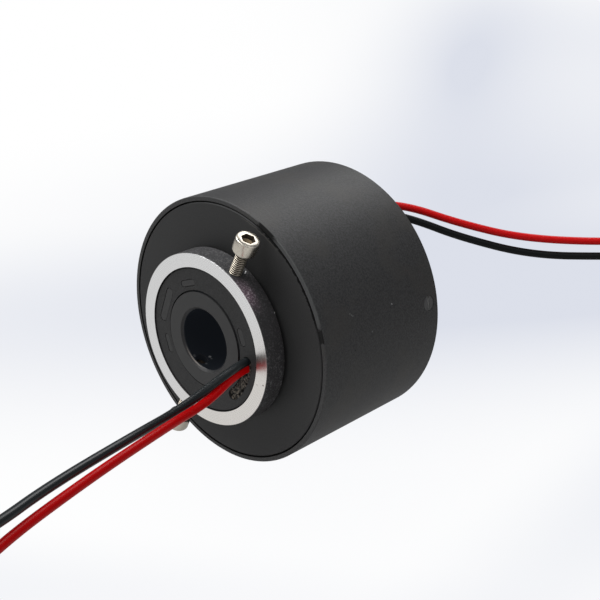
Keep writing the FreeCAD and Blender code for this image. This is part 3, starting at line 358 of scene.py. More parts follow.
def make_housing_finish():
    """Blasted black metal: a painted highlight band and near-black patches on the front edge, painted shade
    on the groove wall, small marks.
    """
    material, tree, shader, tint = grained_surface(
        "housing_finish",
        (0.0160, 0.0160, 0.0162),
        roughness=0.54,
        scale=2900.0,
        strength=0.75,
        depth=0.08 * MM,
        lighter=2.5,
        specular=0.38,
    )
    parts = object_parts(tree)
    patch_noise = clouds_of(tree, 1500.0, 3.0)
    ragged = math_node(tree, "MULTIPLY_ADD", patch_noise, 5.0, -2.5)
    angle = math_node(tree, "ADD", angle_round_axis(tree, parts), ragged)
    front = math_node(tree, "LESS_THAN", parts["Y"], 0.12 * MM)
    # painted highlight: a lighter band on the front edge, where its chamfer mirrors a lamp
    lit = product(tree, front, band(tree, angle, 19.5, 57.0, 1.2))
    tint = mix_colour(tree, product(tree, lit, 0.8), tint, (0.060, 0.062, 0.062))
    wall = math_node(tree, "LESS_THAN", radius_from_axis(tree, parts), RIM_INSIDE)
    mouth = math_node(tree, "LESS_THAN", parts["Y"], 3.0 * MM)
    warm = band(tree, clouds_of(tree, 95.0, 2.0), 0.55, 1.0, 0.06)
    tint = mix_colour(tree, product(tree, warm, 0.45), tint, (0.036, 0.034, 0.031))
    # near-black patches on the front edge, and painted shade on the groove wall inside the rim near the
    # mouth
    marks_and_painted_light = math_node(
        tree, "MAXIMUM", band(tree, angle, 12.4, 18.2, 0.8), band(tree, angle, 58.5, 68.0, 0.8)
    )
    marks_and_painted_light = math_node(tree, "MAXIMUM", product(tree, marks_and_painted_light, front), product(tree, wall, mouth))
    tint = mix_colour(tree, marks_and_painted_light, tint, PAINTED_SHADE_AND_MARK_BLACK)
    blasted = math_node(tree, "MULTIPLY_ADD", patch_noise, 0.04, 0.50)
    tree.links.new(mix_value(tree, marks_and_painted_light, blasted, SHADE_AND_MARK_ROUGHNESS), shader.inputs["Roughness"])
    pale, dark = grey(0.09), grey(0.004)
    add_spots(tree, shader, tint, [
        (on_cylinder(16.1, 20.0), 0.26, grey(0.30)),
        (on_cylinder(9.0, 13.4), 0.20, pale),
        (on_cylinder(19.5, 8.15), 0.20, pale),
        (on_cylinder(18.8, 8.5), 0.20, pale),
        (on_cylinder(18.2, 8.8), 0.18, pale),
        (on_cylinder(15.9, 20.0), 0.20, dark),
        (on_cylinder(4.5, 8.2), 0.22, dark),
    ])
    return material


def make_tube_finish():
    """The shaft tube: a satin black face; a chamfer with painted shade, and on its lower side scratches
    with a painted highlight; a bore darkened with painted shade and lit by a dim painted emission, with
    painted glints.
    """
    material, tree, shader, tint = grained_surface(
        "tube_finish",
        grey(0.027),
        roughness=0.46,
        scale=5000.0,
        strength=0.12,
        depth=0.01 * MM,
        lighter=1.1,
        specular=0.28,
    )
    parts = object_parts(tree)
    radius = radius_from_axis(tree, parts)
    mouth = BORE_RADIUS + 0.08 * MM
    # painted shade: the bore and the tube's surfaces deeper than its face are near-black
    inside = band(tree, radius, -1.0 * MM, mouth, 0.03 * MM)
    deep = band(tree, parts["Y"], TUBE_FACE + 0.2 * MM, 1.0, 0.05 * MM)
    inside = math_node(tree, "MAXIMUM", inside, product(tree, deep, 0.85))
    # painted shade darkens the bore's chamfer; on its lower side, scratches with a painted highlight
    edge = band(tree, radius, mouth, BORE_RADIUS + 0.45 * MM, 0.05 * MM)
    rim = band(tree, radius, mouth, BORE_RADIUS + 0.24 * MM, 0.04 * MM)
    lower = band(tree, angle_round_axis(tree, parts), -142.0, -105.0, 14.0)
    marks_and_painted_light = product(tree, product(tree, rim, lower), clouds_of(tree, 2600.0, 3.0))
    tint = mix_colour(tree, product(tree, edge, 0.45), tint, (0.012, 0.012, 0.013))
    tint = mix_colour(tree, marks_and_painted_light, tint, (0.30, 0.26, 0.23))
    tint = mix_colour(tree, inside, tint, (0.0030, 0.0038, 0.0048))
    # painted glints in the bore
    add_spots(tree, shader, tint, [
        (on_cylinder(-113.9, -1.78, BORE_RADIUS), 0.34, grey(0.16)),
        (on_cylinder(-108.8, -1.85, BORE_RADIUS), 0.24, grey(0.07)),
        (on_cylinder(-128.4, -4.76, BORE_RADIUS), 0.36, grey(0.035)),
        (on_cylinder(-102.0, -3.85, BORE_RADIUS), 0.28, grey(0.045)),
    ])
    # a dim painted emission lifts the bore
    painted_bore_glow = mix_colour(tree, inside, NO_LIGHT, (0.0042, 0.0050, 0.0064))
    tree.links.new(painted_bore_glow, shader.inputs["Emission Color"])
    shader.inputs["Emission Strength"].default_value = 1.0
    tree.links.new(mix_value(tree, inside, 0.46, 0.30), shader.inputs["Roughness"])
    return material


def make_cover_finish():
    """Satin black plate; painted shade darkens its edge in a ragged band on one side, and a pale painted
    highlight line lies on its chamfer.
    """
    material, tree, shader, tint = grained_surface(
        "cover_finish",
        grey(0.022),
        roughness=0.58,
        scale=3600.0,
        strength=0.35,
        depth=0.04 * MM,
        lighter=1.35,
        specular=0.25,
    )
    parts = object_parts(tree)
    angle = angle_round_axis(tree, parts)
    shift = math_node(tree, "MULTIPLY_ADD", clouds_of(tree, 1300.0, 4.0), 0.9 * MM, -0.45 * MM)
    ragged = math_node(tree, "ADD", radius_from_axis(tree, parts), shift)
    edge = HOUSING_RADIUS - 1.45 * MM
    # painted shade: a ragged dark band at the edge, along the groove
    dark = math_node(tree, "GREATER_THAN", ragged, edge)
    dark = product(tree, dark, band(tree, angle, 19.0, 67.0, 4.0))
    # painted highlight: a pale line on the edge's chamfer
    pale = band(tree, ragged, edge - 0.42 * MM, edge - 0.18 * MM, 0.06 * MM)
    pale = product(tree, pale, band(tree, angle, 56.0, 76.0, 4.0))
    tint = mix_colour(tree, product(tree, pale, 0.7), tint, (0.080, 0.074, 0.066))
    tint = mix_colour(tree, dark, tint, PAINTED_SHADE_AND_MARK_BLACK)
    tree.links.new(tint, shader.inputs["Base Color"])
    tree.links.new(mix_value(tree, dark, 0.56, SHADE_AND_MARK_ROUGHNESS), shader.inputs["Roughness"])
    return material


def make_core_finish():
    """The moulded core: fine grain and one hairline scratch near the left plug."""
    material, tree, shader, tint = grained_surface(
        "core_finish",
        grey(0.019),
        roughness=0.55,
        scale=3600.0,
        strength=0.45,
        depth=0.04 * MM,
        lighter=1.5,
        specular=0.2,
    )
    start = Vector((-10.28 * MM, CORE_FACE, 6.29 * MM))
    end = Vector((-8.79 * MM, CORE_FACE, 5.41 * MM))
    away = distance_from_line(tree, start, (end - start).normalized())
    ahead = add(tree, "ShaderNodeVectorMath", operation="DISTANCE")
    tree.links.new(object_place(tree), ahead.inputs[0])
    ahead.inputs[1].default_value = (start + end) / 2
    near = band(tree, ahead.outputs["Value"], -1.0 * MM, (end - start).length / 2, 0.1 * MM)
    thin = band(tree, away, -1.0 * MM, 0.06 * MM, 0.04 * MM)
    tint = mix_colour(tree, product(tree, near, thin), tint, grey(0.003))
    tree.links.new(tint, shader.inputs["Base Color"])
    return material


def make_collar_finish():
    """Black grained sides and a bright turned front face with its two thin chamfers. Painted light makes
    the sides' top lighter and one side's specks paler, a purple painted reflection lies near the front
    edge, the face's warmer tint on one side is a painted reflection, and a screw hole's bare edge carries a
    painted glint.
    """
    material, tree, shader = new_material("collar_finish")
    grain = use_group(tree, grain_group, Scale=2700.0, Strength=0.9, Depth=0.09 * MM)
    turned = use_group(tree, turned_group, Scale=7000.0, Strength=0.05, Depth=0.01 * MM)
    fine = use_group(tree, grain_group, Scale=5200.0, Strength=0.2, Depth=0.01 * MM)
    parts = object_parts(tree)
    angle = angle_round_axis(tree, parts)
    bright = math_node(tree, "LESS_THAN", parts["Y"], COLLAR_FACE + 0.01 * MM)
    # painted light: the top of the sides is lighter, and the specks on the side round +X are paler
    top = band(tree, angle, 62.0, 118.0, 14.0)
    low = band(tree, angle, -35.0, 8.0, 12.0)
    # painted reflection: a purple sheen near the front edge
    sheen = band(tree, parts["Y"], COLLAR_FACE - 1.0 * MM, COLLAR_FACE + 2.0 * MM, 1.1 * MM)
    sheen = product(tree, sheen, band(tree, angle, 40.0, 54.0, 9.0))
    speck = ranged(tree, grain.outputs["Mask"], 0.55, 1.0)
    painted_side_specks = mix_colour(tree, low, (0.055, 0.053, 0.055), (0.125, 0.123, 0.125))
    black = mix_colour(tree, speck, (0.023, 0.022, 0.023), painted_side_specks)
    lighter = mix_colour(tree, speck, (0.046, 0.046, 0.048), (0.160, 0.158, 0.160))
    purple = mix_colour(tree, speck, (0.095, 0.062, 0.080), (0.420, 0.350, 0.390))
    black = mix_colour(tree, product(tree, top, 0.8), black, lighter)
    black = mix_colour(tree, sheen, black, purple)
    # painted reflection: the turned face is warmer on one side
    cool = mix_colour(tree, fine.outputs["Mask"], grey(0.765), grey(0.800))
    warm = mix_colour(tree, fine.outputs["Mask"], (0.755, 0.725, 0.690), (0.790, 0.760, 0.728))
    metal = mix_colour(tree, band(tree, angle, -105.0, 12.0, 30.0), cool, warm)
    face = COLLAR_FACE / MM
    # the screw hole's bare metal edge, with a painted glint on it
    glint = grey(0.95)
    add_spots(tree, shader, mix_colour(tree, bright, black, metal), [
        (on_cylinder(-13.7, face, 17.3 * MM), 0.18, (0.14, 0.12, 0.11)),
        (on_cylinder(-16.7, face, 15.8 * MM), 0.12, (0.22, 0.19, 0.17)),
        (on_cylinder(30.7, -0.91, COLLAR_RADIUS), 0.22, grey(0.80)),
        (on_cylinder(61.0, -2.15, COLLAR_RADIUS), 0.13, glint),
        (on_cylinder(61.5, -1.90, COLLAR_RADIUS), 0.15, glint),
        (on_cylinder(62.0, -1.65, COLLAR_RADIUS), 0.13, glint),
    ])
    tree.links.new(bright, shader.inputs["Metallic"])
    side_rough = mix_value(tree, grain.outputs["Mask"], 0.50, 0.38)
    face_rough = mix_value(tree, turned.outputs["Mask"], 0.22, 0.34)
    tree.links.new(mix_value(tree, bright, side_rough, face_rough), shader.inputs["Roughness"])
    shape = add(tree, "ShaderNodeMix", data_type="VECTOR")
    tree.links.new(bright, shape.inputs[0])
    tree.links.new(grain.outputs["Normal"], shape.inputs[4])
    tree.links.new(turned.outputs["Normal"], shape.inputs[5])
    tree.links.new(shape.outputs[1], shader.inputs["Normal"])
    return material


def make_metal(name, colour, roughness):
    """Plain bright metal with a fine grain, a little darker and duller in its low points."""
    material, tree, shader = new_material(name)
    grain = use_group(tree, grain_group, Scale=5000.0, Strength=0.1, Depth=0.02 * MM)
    dark = tuple(channel * 0.85 for channel in colour)
    tint = mix_colour(tree, grain.outputs["Mask"], dark, colour)
    tree.links.new(tint, shader.inputs["Base Color"])
    rough = mix_value(tree, grain.outputs["Mask"], roughness + 0.06, roughness)
    tree.links.new(rough, shader.inputs["Roughness"])
    tree.links.new(grain.outputs["Normal"], shader.inputs["Normal"])
    shader.inputs["Metallic"].default_value = 1.0
    return material


def distance_from_screw_axis(tree):
    """How far a place lies from the line that both clamp screws share."""
    axis = (math.cos(CLAMP_ANGLE), 0.0, math.sin(CLAMP_ANGLE))
    return distance_from_line(tree, (0.0, CLAMP_PLANE, 0.0), axis)


def make_screw_finish():
    """Bright warm steel, with painted shade in the thread's root and on the parts inside the collar."""
    material, tree, shader = new_material("screw_finish")
    grain = use_group(tree, grain_group, Scale=2600.0, Strength=0.04, Depth=0.01 * MM)
    away = distance_from_screw_axis(tree)
    crest = SCREW_THREAD_RADIUS - 0.02 * MM
    # painted shade in the thread's root: dark, dull and not metallic
    root = ranged(tree, away, crest - 0.08 * MM, crest, 1.0, 0.0)
    head = ranged(tree, away, SCREW_THREAD_RADIUS, SCREW_THREAD_RADIUS + 0.3 * MM)
    # painted shade on the screws' parts inside the collar
    inner_shade = math_node(tree, "LESS_THAN", radius_from_axis(tree, object_parts(tree)), CORE_RADIUS)
    metal = mix_colour(tree, grain.outputs["Mask"], (0.55, 0.51, 0.44), (0.61, 0.565, 0.49))
    metal = mix_colour(tree, head, (0.54, 0.485, 0.40), metal)
    metal = mix_colour(tree, inner_shade, metal, (0.012, 0.011, 0.010))
    tint = mix_colour(tree, root, metal, (0.020, 0.015, 0.010))
    tree.links.new(tint, shader.inputs["Base Color"])
    rough = mix_value(tree, head, 0.28, mix_value(tree, grain.outputs["Mask"], 0.29, 0.24))
    tree.links.new(mix_value(tree, root, rough, 0.70), shader.inputs["Roughness"])
    tree.links.new(math_node(tree, "SUBTRACT", 1.0, root), shader.inputs["Metallic"])
    shader.inputs["Specular IOR Level"].default_value = 0.2
    tree.links.new(grain.outputs["Normal"], shader.inputs["Normal"])
    return material


def make_small_screw_finish():
    """Dull blackened steel with painted light in its paler slot."""
    material, tree, shader = new_material("small_screw_finish")
    grain = use_group(tree, grain_group, Scale=3500.0, Strength=0.3, Depth=0.02 * MM)
    head = HOUSING_RADIUS - 0.22 * MM
    radius = radius_from_axis(tree, object_parts(tree))
    # painted light: the slot is paler
    slot = band(tree, radius, head - 1.2 * MM, head, 0.04 * MM)
    steel = mix_colour(tree, grain.outputs["Mask"], grey(0.060), grey(0.085))
    tree.links.new(mix_colour(tree, slot, steel, (0.42, 0.42, 0.41)), shader.inputs["Base Color"])
    tree.links.new(grain.outputs["Normal"], shader.inputs["Normal"])
    shader.inputs["Roughness"].default_value = 0.55
    shader.inputs["Metallic"].default_value = 0.2
    return material


def make_socket_finish():
    """The screw's socket: dull brown walls, a lighter floor."""
    material, tree, shader = new_material("socket_finish")
    grain = use_group(tree, grain_group, Scale=2400.0, Strength=0.4, Depth=0.04 * MM)
    floor = band(tree, distance_from_screw_axis(tree), -1.0 * MM, 1.16 * MM, 0.04 * MM)
    wall = mix_colour(tree, grain.outputs["Mask"], (0.030, 0.022, 0.015), (0.060, 0.044, 0.028))
    base = mix_colour(tree, grain.outputs["Mask"], (0.13, 0.092, 0.052), (0.38, 0.28, 0.165))
    tree.links.new(mix_colour(tree, floor, wall, base), shader.inputs["Base Color"])
    tree.links.new(grain.outputs["Normal"], shader.inputs["Normal"])
    shader.inputs["Roughness"].default_value = 0.55
    return material


def make_plastic(name, colour, roughness, scale=2500.0, strength=0.15, lighter=1.15):
    return grained_surface(name, colour, roughness, scale, strength, 0.02 * MM, lighter)[0]


def make_plug_finish():
    """Smooth grey-black resin."""
    return grained_surface(
        "plug_finish",
        grey(0.028),
        roughness=0.48,
        scale=5000.0,
        strength=0.15,
        depth=0.01 * MM,
        lighter=1.1,
        specular=0.25,
    )[0]


def make_insulation(name, colour, shade, specular, front, through, gloss):
    """Smooth, slightly wavy insulation. On the front pair it is glossier, its colour is scaled by a factor,
    painted shade below 1 and painted light above 1, and a painted emission stands in for light passing
    through it.
    """
    material, tree, shader = new_material(name)
    slow = clouds_of(tree, 90.0, 2.0)
    ahead = math_node(tree, "LESS_THAN", object_parts(tree)["Y"], 0.0)
    tint = mix_colour(tree, slow, shade, colour)
    # painted light and shade: the front pair's colour scaled by a factor
    tint = mix_colour(tree, ahead, tint, tuple(channel * front for channel in colour))
    tree.links.new(tint, shader.inputs["Base Color"])
    # painted emission on the front pair
    painted_glow = mix_colour(tree, ahead, NO_LIGHT, tuple(channel * through for channel in colour))
    tree.links.new(painted_glow, shader.inputs["Emission Color"])
    shader.inputs["Emission Strength"].default_value = 1.0
    bump = add(tree, "ShaderNodeBump")
    set_inputs(bump, Strength=0.06, Distance=0.1 * MM)
    tree.links.new(clouds_of(tree, 260.0, 1.0), bump.inputs["Height"])
    tree.links.new(bump.outputs["Normal"], shader.inputs["Normal"])
    tree.links.new(mix_value(tree, slow, 0.30, 0.36), shader.inputs["Roughness"])
    shader.inputs["Specular IOR Level"].default_value = specular
    tree.links.new(mix_value(tree, ahead, 0.0, gloss), shader.inputs["Coat Weight"])
    shader.inputs["Coat Roughness"].default_value = 0.3
    return material


def make_potting_finish():
    """Grey-brown crumbs on a dark ground, paler where the filling stands higher."""
    material, tree, shader = new_material("potting_finish")
    along = object_parts(tree)["Y"]
    high = ranged(tree, along, FILLING_FACE + 0.02 * MM, FILLING_FACE - 0.30 * MM)
    crumbs = product(tree, high, clouds_of(tree, 2300.0, 4.0, 0.7))
    ramp = add(tree, "ShaderNodeValToRGB")
    ground, crumb = ramp.color_ramp.elements
    ground.position = 0.12
    ground.color = (0.008, 0.007, 0.006, 1.0)
    crumb.position = 0.42
    crumb.color = (0.150, 0.128, 0.100, 1.0)
    tree.links.new(crumbs, ramp.inputs[0])
    tree.links.new(ramp.outputs[0], shader.inputs["Base Color"])
    grain = use_group(tree, grain_group, Scale=4200.0, Strength=0.7, Depth=0.06 * MM)
    tree.links.new(grain.outputs["Normal"], shader.inputs["Normal"])
    shader.inputs["Roughness"].default_value = 0.6
    shader.inputs["Specular IOR Level"].default_value = 0.3
    return material


socket_finish = make_socket_finish()

# the finish of each material slot
SLOT_FINISH = {
    "housing_black": make_housing_finish(),
    "cover_black": make_cover_finish(),
    "tube_black": make_tube_finish(),
    "core_plastic": make_core_finish(),
    "plug_resin": make_plug_finish(),
    "potting": make_potting_finish(),
    "collar_metal": make_collar_finish(),
    "clamp_screw": make_screw_finish(),
    "small_screw": make_small_screw_finish(),
    "bearing_steel": make_metal("bearing_finish", grey(0.60), 0.18),
    "cage_plastic": make_plastic("cage_finish", (0.66, 0.62, 0.50), 0.45),
    "contact_metal": make_metal("contact_finish", (0.83, 0.64, 0.26), 0.22),
    "spring_bronze": make_metal("spring_finish", (0.72, 0.46, 0.25), 0.28),
    "brush_graphite": make_plastic("graphite_finish", (0.055, 0.052, 0.050), 0.42, 1800.0, 0.5, 1.6),
    "barrier_plastic": make_plastic("barrier_finish", (0.56, 0.53, 0.43), 0.5),
    "grommet_rubber": make_plastic("rubber_finish", (0.020, 0.020, 0.021), 0.62, 3000.0, 0.25),
    # the front red is painted darker and given a painted emission; the front black is painted lighter
    "lead_red": make_insulation(
        "red_insulation",
        (0.53, 0.0006, 0.0016),
        (0.47, 0.0005, 0.0014),
        specular=0.13,
        front=0.45,
        through=0.20,
        gloss=0.0,
    ),
    "lead_black": make_insulation(
        "black_insulation",
        (0.0035, 0.0045, 0.005),
        (0.003, 0.0038, 0.0043),
        specular=0.12,
        front=2.4,
        through=0.0,
        gloss=0.5,
    ),
    "tinned": make_metal("tinned_finish", (0.66, 0.66, 0.67), 0.34),
    "tie_plastic": make_plastic("tie_finish", (0.018, 0.018, 0.019), 0.40, 1500.0, 0.1),
}


def finish_solids():
    """Give every carried-over node the finish of its slot."""
    slot_of = {part["node"]: part["material_slot"] for part in frame["record"]["subparts"]}
    for name, piece in frame["nodes"].items():
        for place in piece.material_slots:
            place.material = SLOT_FINISH[slot_of[name]]


finish_solids()


# piece helpers
def settle(bm, name, body, slot, stands_for, smooth_angle=35.0, other_finishes=()):
    """Turn a bmesh into a finished piece that rides on its body in place of the named nodes."""
    bmesh.ops.recalc_face_normals(bm, faces=bm.faces[:])
    mesh = bpy.data.meshes.new(name)
    bm.to_mesh(mesh)
    bm.free()
    for finish in (SLOT_FINISH[slot], *other_finishes):
        mesh.materials.append(finish)
    for face in mesh.polygons:
        face.use_smooth = True
    mesh.set_sharp_from_angle(angle=math.radians(smooth_angle))
    piece = bpy.data.objects.new(name, mesh)
    scene.collection.objects.link(piece)
    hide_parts(*stands_for)
    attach(piece, body)
    return piece


def ring_of(bm, radius, height):
    """A closed loop of edges at a height above the working plane."""
    made = bmesh.ops.create_circle(bm, cap_ends=False, segments=48, radius=radius)["verts"]
    bmesh.ops.translate(bm, verts=made, vec=(0.0, 0.0, height))
    return list({edge for vert in made for edge in vert.link_edges})


def grow_loop(bm, loop, radius, height, hexagon=False):
    """Extrude a closed loop to a new radius and height; a hexagon's corners stand further out."""
    made = bmesh.ops.extrude_edge_only(bm, edges=loop)["geom"]
    fresh = {item for item in made if isinstance(item, bmesh.types.BMVert)}
    for vert in fresh:
        turn = math.atan2(vert.co.y, vert.co.x)
        reach = radius
        if hexagon:
            reach /= math.cos(turn % math.radians(60.0) - math.radians(30.0))
        vert.co = (reach * math.cos(turn), reach * math.sin(turn), height)
    edges = [item for item in made if isinstance(item, bmesh.types.BMEdge)]
    loop = [edge for edge in edges if edge.verts[0] in fresh and edge.verts[1] in fresh]
    return loop, [item for item in made if isinstance(item, bmesh.types.BMFace)]


# lead slot's filling
def make_filling():
    """The crumbly filling in the lead slot: a lumpy face with a few holes, on a plain skirt."""
    skirt_depth, hole_depth = 2.0 * MM, 0.55 * MM
    highest = CORE_FACE + 0.03 * MM
    holes = [
        (Vector(on_cylinder(-19.0, 0.0, 12.0 * MM)), 0.45 * MM),
        (Vector(on_cylinder(-27.0, 0.0, 13.0 * MM)), 0.35 * MM),
        (Vector(on_cylinder(-37.0, 0.0, 13.0 * MM)), 0.40 * MM),
        (Vector(on_cylinder(-43.6, 0.0, 13.1 * MM)), 0.35 * MM),
    ]
    bm = bmesh.new()
    made = bmesh.ops.create_grid(bm, x_segments=110, y_segments=26, size=1.0)["verts"]
    rim = [edge for edge in bm.edges if edge.is_boundary]
    low, high = (math.radians(angle) for angle in SLOT_ANGLES)
    half_length = SLOT_RADIUS * (high - low) / 2
    half_width = SLOT_WIDTH / 2
    for vert in made:
        along = vert.co.x * (half_length + half_width)
        past = max(abs(along) - half_length, 0.0)
        across = vert.co.y * math.sqrt(max(half_width ** 2 - past ** 2, 0.0))
        turn = (low + high) / 2 + along / SLOT_RADIUS
        radius = SLOT_RADIUS + across
        place = Vector((radius * math.cos(turn), 0.0, radius * math.sin(turn)))
        lumps = noise.fractal(place * 1900.0, 0.7, 2.1, 4)
        crumbs = noise.fractal(place * 5200.0 + Vector((3.0, 1.0, 5.0)), 0.8, 2.0, 2)
        height = FILLING_FACE - (0.10 + 0.22 * lumps + 0.09 * crumbs) * MM
        for centre, reach in holes:
            near = 1.0 - min((place - centre).length / reach, 1.0)
            height += hole_depth * near ** 0.6
        vert.co = (place.x, max(height, highest), place.z)
    skirt = bmesh.ops.extrude_edge_only(bm, edges=rim)["geom"]
    for vert in (item for item in skirt if isinstance(item, bmesh.types.BMVert)):
        vert.co.y = FILLING_FACE + skirt_depth
    foot = [edge for edge in bm.edges if edge.is_boundary]
    bmesh.ops.holes_fill(bm, edges=foot, sides=0)
    settle(bm, "slot_filling", "rotor", "potting", ["lead_potting"], 60.0)


make_filling()


# clamp screws
def make_thread(bm, start, end):
    """A right-hand thread from start to end along Z: a zigzag profile, spun once and cut flat."""
    turns = int(round((end - start) / SCREW_PITCH))
    pitch = (end - start) / turns
    flat = pitch * 0.12
    steps = 40
    close = 0.002 * MM
    profile = []
    for turn in range(turns + 1):
        base = start + (turn - 1) * pitch
        for radius, height in (
            (SCREW_THREAD_ROOT, base),
            (SCREW_THREAD_ROOT, base + flat),
            (SCREW_THREAD_RADIUS, base + pitch / 2),
            (SCREW_THREAD_RADIUS, base + pitch / 2 + flat),
        ):
            profile.append(bm.verts.new((radius, 0.0, height)))
    profile.append(bm.verts.new((SCREW_THREAD_ROOT, 0.0, end)))
    edges = [bm.edges.new(pair) for pair in zip(profile, profile[1:])]
    bmesh.ops.spin(
        bm,
        geom=profile + edges,
        cent=(0.0, 0.0, 0.0),
        axis=(0.0, 0.0, 1.0),
        dvec=(0.0, 0.0, pitch / steps),
        angle=math.tau,
        steps=steps,
        use_merge=False,
        use_duplicate=False,
    )
    bmesh.ops.remove_doubles(bm, verts=bm.verts[:], dist=close)
    for height, outwards in ((start, False), (end, True)):
        bmesh.ops.bisect_plane(
            bm,
            geom=bm.verts[:] + bm.edges[:] + bm.faces[:],
            dist=0.0005 * MM,
            plane_co=(0.0, 0.0, height),
            plane_no=(0.0, 0.0, 1.0),
            clear_outer=outwards,
            clear_inner=not outwards,
        )
        rim = [edge for edge in bm.edges if edge.is_boundary]
        rim = [edge for edge in rim if all(abs(vert.co.z - height) < close for vert in edge.verts)]
        bmesh.ops.holes_fill(bm, edges=rim, sides=0)


def make_head(bm, under):
    """A cylindrical cap with a rounded foot, a softened top and a hexagon socket."""
    top = under + SCREW_HEAD
    radius = SCREW_HEAD_RADIUS
    across = SOCKET_ACROSS / 2
    socket_edge = 0.05 * MM
    floor = top - SOCKET_DEPTH
    loop = foot = ring_of(bm, SCREW_THREAD_ROOT, under)
    for reach, height in (
        (radius - 0.34 * MM, under),
        (radius - 0.16 * MM, under + 0.07 * MM),
        (radius - 0.04 * MM, under + 0.22 * MM),
        (radius, under + 0.42 * MM),
        (radius, top - 0.22 * MM),
        (radius - 0.05 * MM, top - 0.10 * MM),
        (radius - 0.20 * MM, top),
    ):
        loop, _ = grow_loop(bm, loop, reach, height)
    loop, _ = grow_loop(bm, loop, across + socket_edge, top, hexagon=True)
    inside = []
    for reach, height, hexagon in (
        (across, top - socket_edge, True),
        (across, floor, True),
        (across * 0.84, floor, False),
        (0.1 * MM, floor - 0.35 * MM, False),
    ):
        loop, faces = grow_loop(bm, loop, reach, height, hexagon)
        inside += faces
    inside += bmesh.ops.holes_fill(bm, edges=loop, sides=0)["faces"]
    for face in inside:
        face.material_index = 1
    bmesh.ops.holes_fill(bm, edges=foot, sides=0)


def make_clamp_screw(name, body, node, angle):
    """A socket-head screw on a line through the bore's axis, at an angle from +X towards +Z."""
    under = SCREW_TIP + SCREW_SHANK
    bm = bmesh.new()
    make_thread(bm, SCREW_TIP + SCREW_TIP_LENGTH, under)
    tip = bmesh.ops.create_cone(
        bm,
        cap_ends=True,
        segments=40,
        radius1=SCREW_TIP_RADIUS,
        radius2=SCREW_THREAD_ROOT,
        depth=SCREW_TIP_LENGTH,
    )
    bmesh.ops.translate(bm, verts=tip["verts"], vec=(0.0, 0.0, SCREW_TIP + SCREW_TIP_LENGTH / 2))
    make_head(bm, under)
    lie = Matrix.Rotation(math.pi / 2 - angle, 4, "Y") @ Matrix.Rotation(SOCKET_TURN, 4, "Z")
    place = Matrix.Translation((0.0, CLAMP_PLANE, 0.0)) @ lie
    bmesh.ops.transform(bm, matrix=place, verts=bm.verts[:])
    settle(bm, name, body, "clamp_screw", [node], 40.0, [socket_finish])


make_clamp_screw("upper_screw", "upper_clamp_screw", "clamp_screw_upper", CLAMP_ANGLE)
make_clamp_screw("lower_screw", "lower_clamp_screw", "clamp_screw_lower", CLAMP_ANGLE - math.pi)


# leads
FRONT_LEADS = {
    "black": {"side": 1, "route": [
        (12.1, -4.9, -0.7),
        (12.1, -7.9, -0.7),
        (12.7, -22.1, -4.0),
        (17.9, -37.5, -1.44),
        (22.9, -58.1, 0.1),
        (28.5, -72.2, 1.6),
        (29.8, -86.0, 1.6),
    ]},
    "red": {"side": -1, "route": [
        (11.65, -4.9, -2.5),
        (11.65, -7.7, -2.5),
        (13.4, -16.5, -4.6),
        (18.5, -30.3, -2.1),
        (23.5, -51.7, -1.5),
        (29.2, -73.4, -1.6),
        (38.7, -90.6, -1.6),
    ]},
}
REAR_LEADS = {
    "red": {"side": -1, "route": [
        (-1.0, 34.8, 22.6),
        (-1.0, 39.1, 22.6),
        (0.1, 44.6, 16.5),
        (5.0, 52.0, 15.4),
        (13.7, 59.1, 11.7),
        (24.2, 69.8, 7.8),
        (38.3, 85.1, 6.4),
        (48.0, 97.8, 6.6),
    ]},
    "black": {"side": 1, "route": [
        (1.0, 34.8, 22.6),
        (1.0, 40.2, 22.6),
        (3.4, 45.8, 14.9),
        (8.0, 51.5, 12.8),
        (15.1, 58.0, 9.0),
        (26.4, 70.0, 4.3),
        (38.3, 83.5, 3.4),
        (50.5, 95.5, 3.6),
    ]},
}


def tube_length(route):
    """The lead's length as far as its coil: straight runs joined by arcs, as in the solids."""
    points = [Vector(point) for point in route]
    runs = [(b - a).length for a, b in zip(points, points[1:])]
    total = sum(runs)
    for i in range(1, len(points) - 1):
        back = (points[i - 1] - points[i]).normalized()
        ahead = (points[i + 1] - points[i]).normalized()
        setback = LEAD_BEND_SHARE * min(runs[i - 1], runs[i])
        half_turn = (math.pi - back.angle(ahead)) / 2
        radius = setback / math.tan(half_turn)
        total -= 2 * setback - 2 * half_turn * radius
    return total


def coil_frame(route, side):
    """The put-away coil's directions, middle and radius, as the solids have them."""
    points = [Vector(point) for point in route]
    ahead = (points[-1] - points[-2]).normalized()
    up = Vector((0.0, 0.0, 1.0))
    sideways = ahead.cross(up) * side
    spare = LEAD_LENGTH - tube_length(route) - TAIL_LENGTH - STRIPPED_LENGTH
    radius = spare / (math.tau * COIL_TURNS)
    return ahead, up, sideways, points[-1] - up * radius, radius


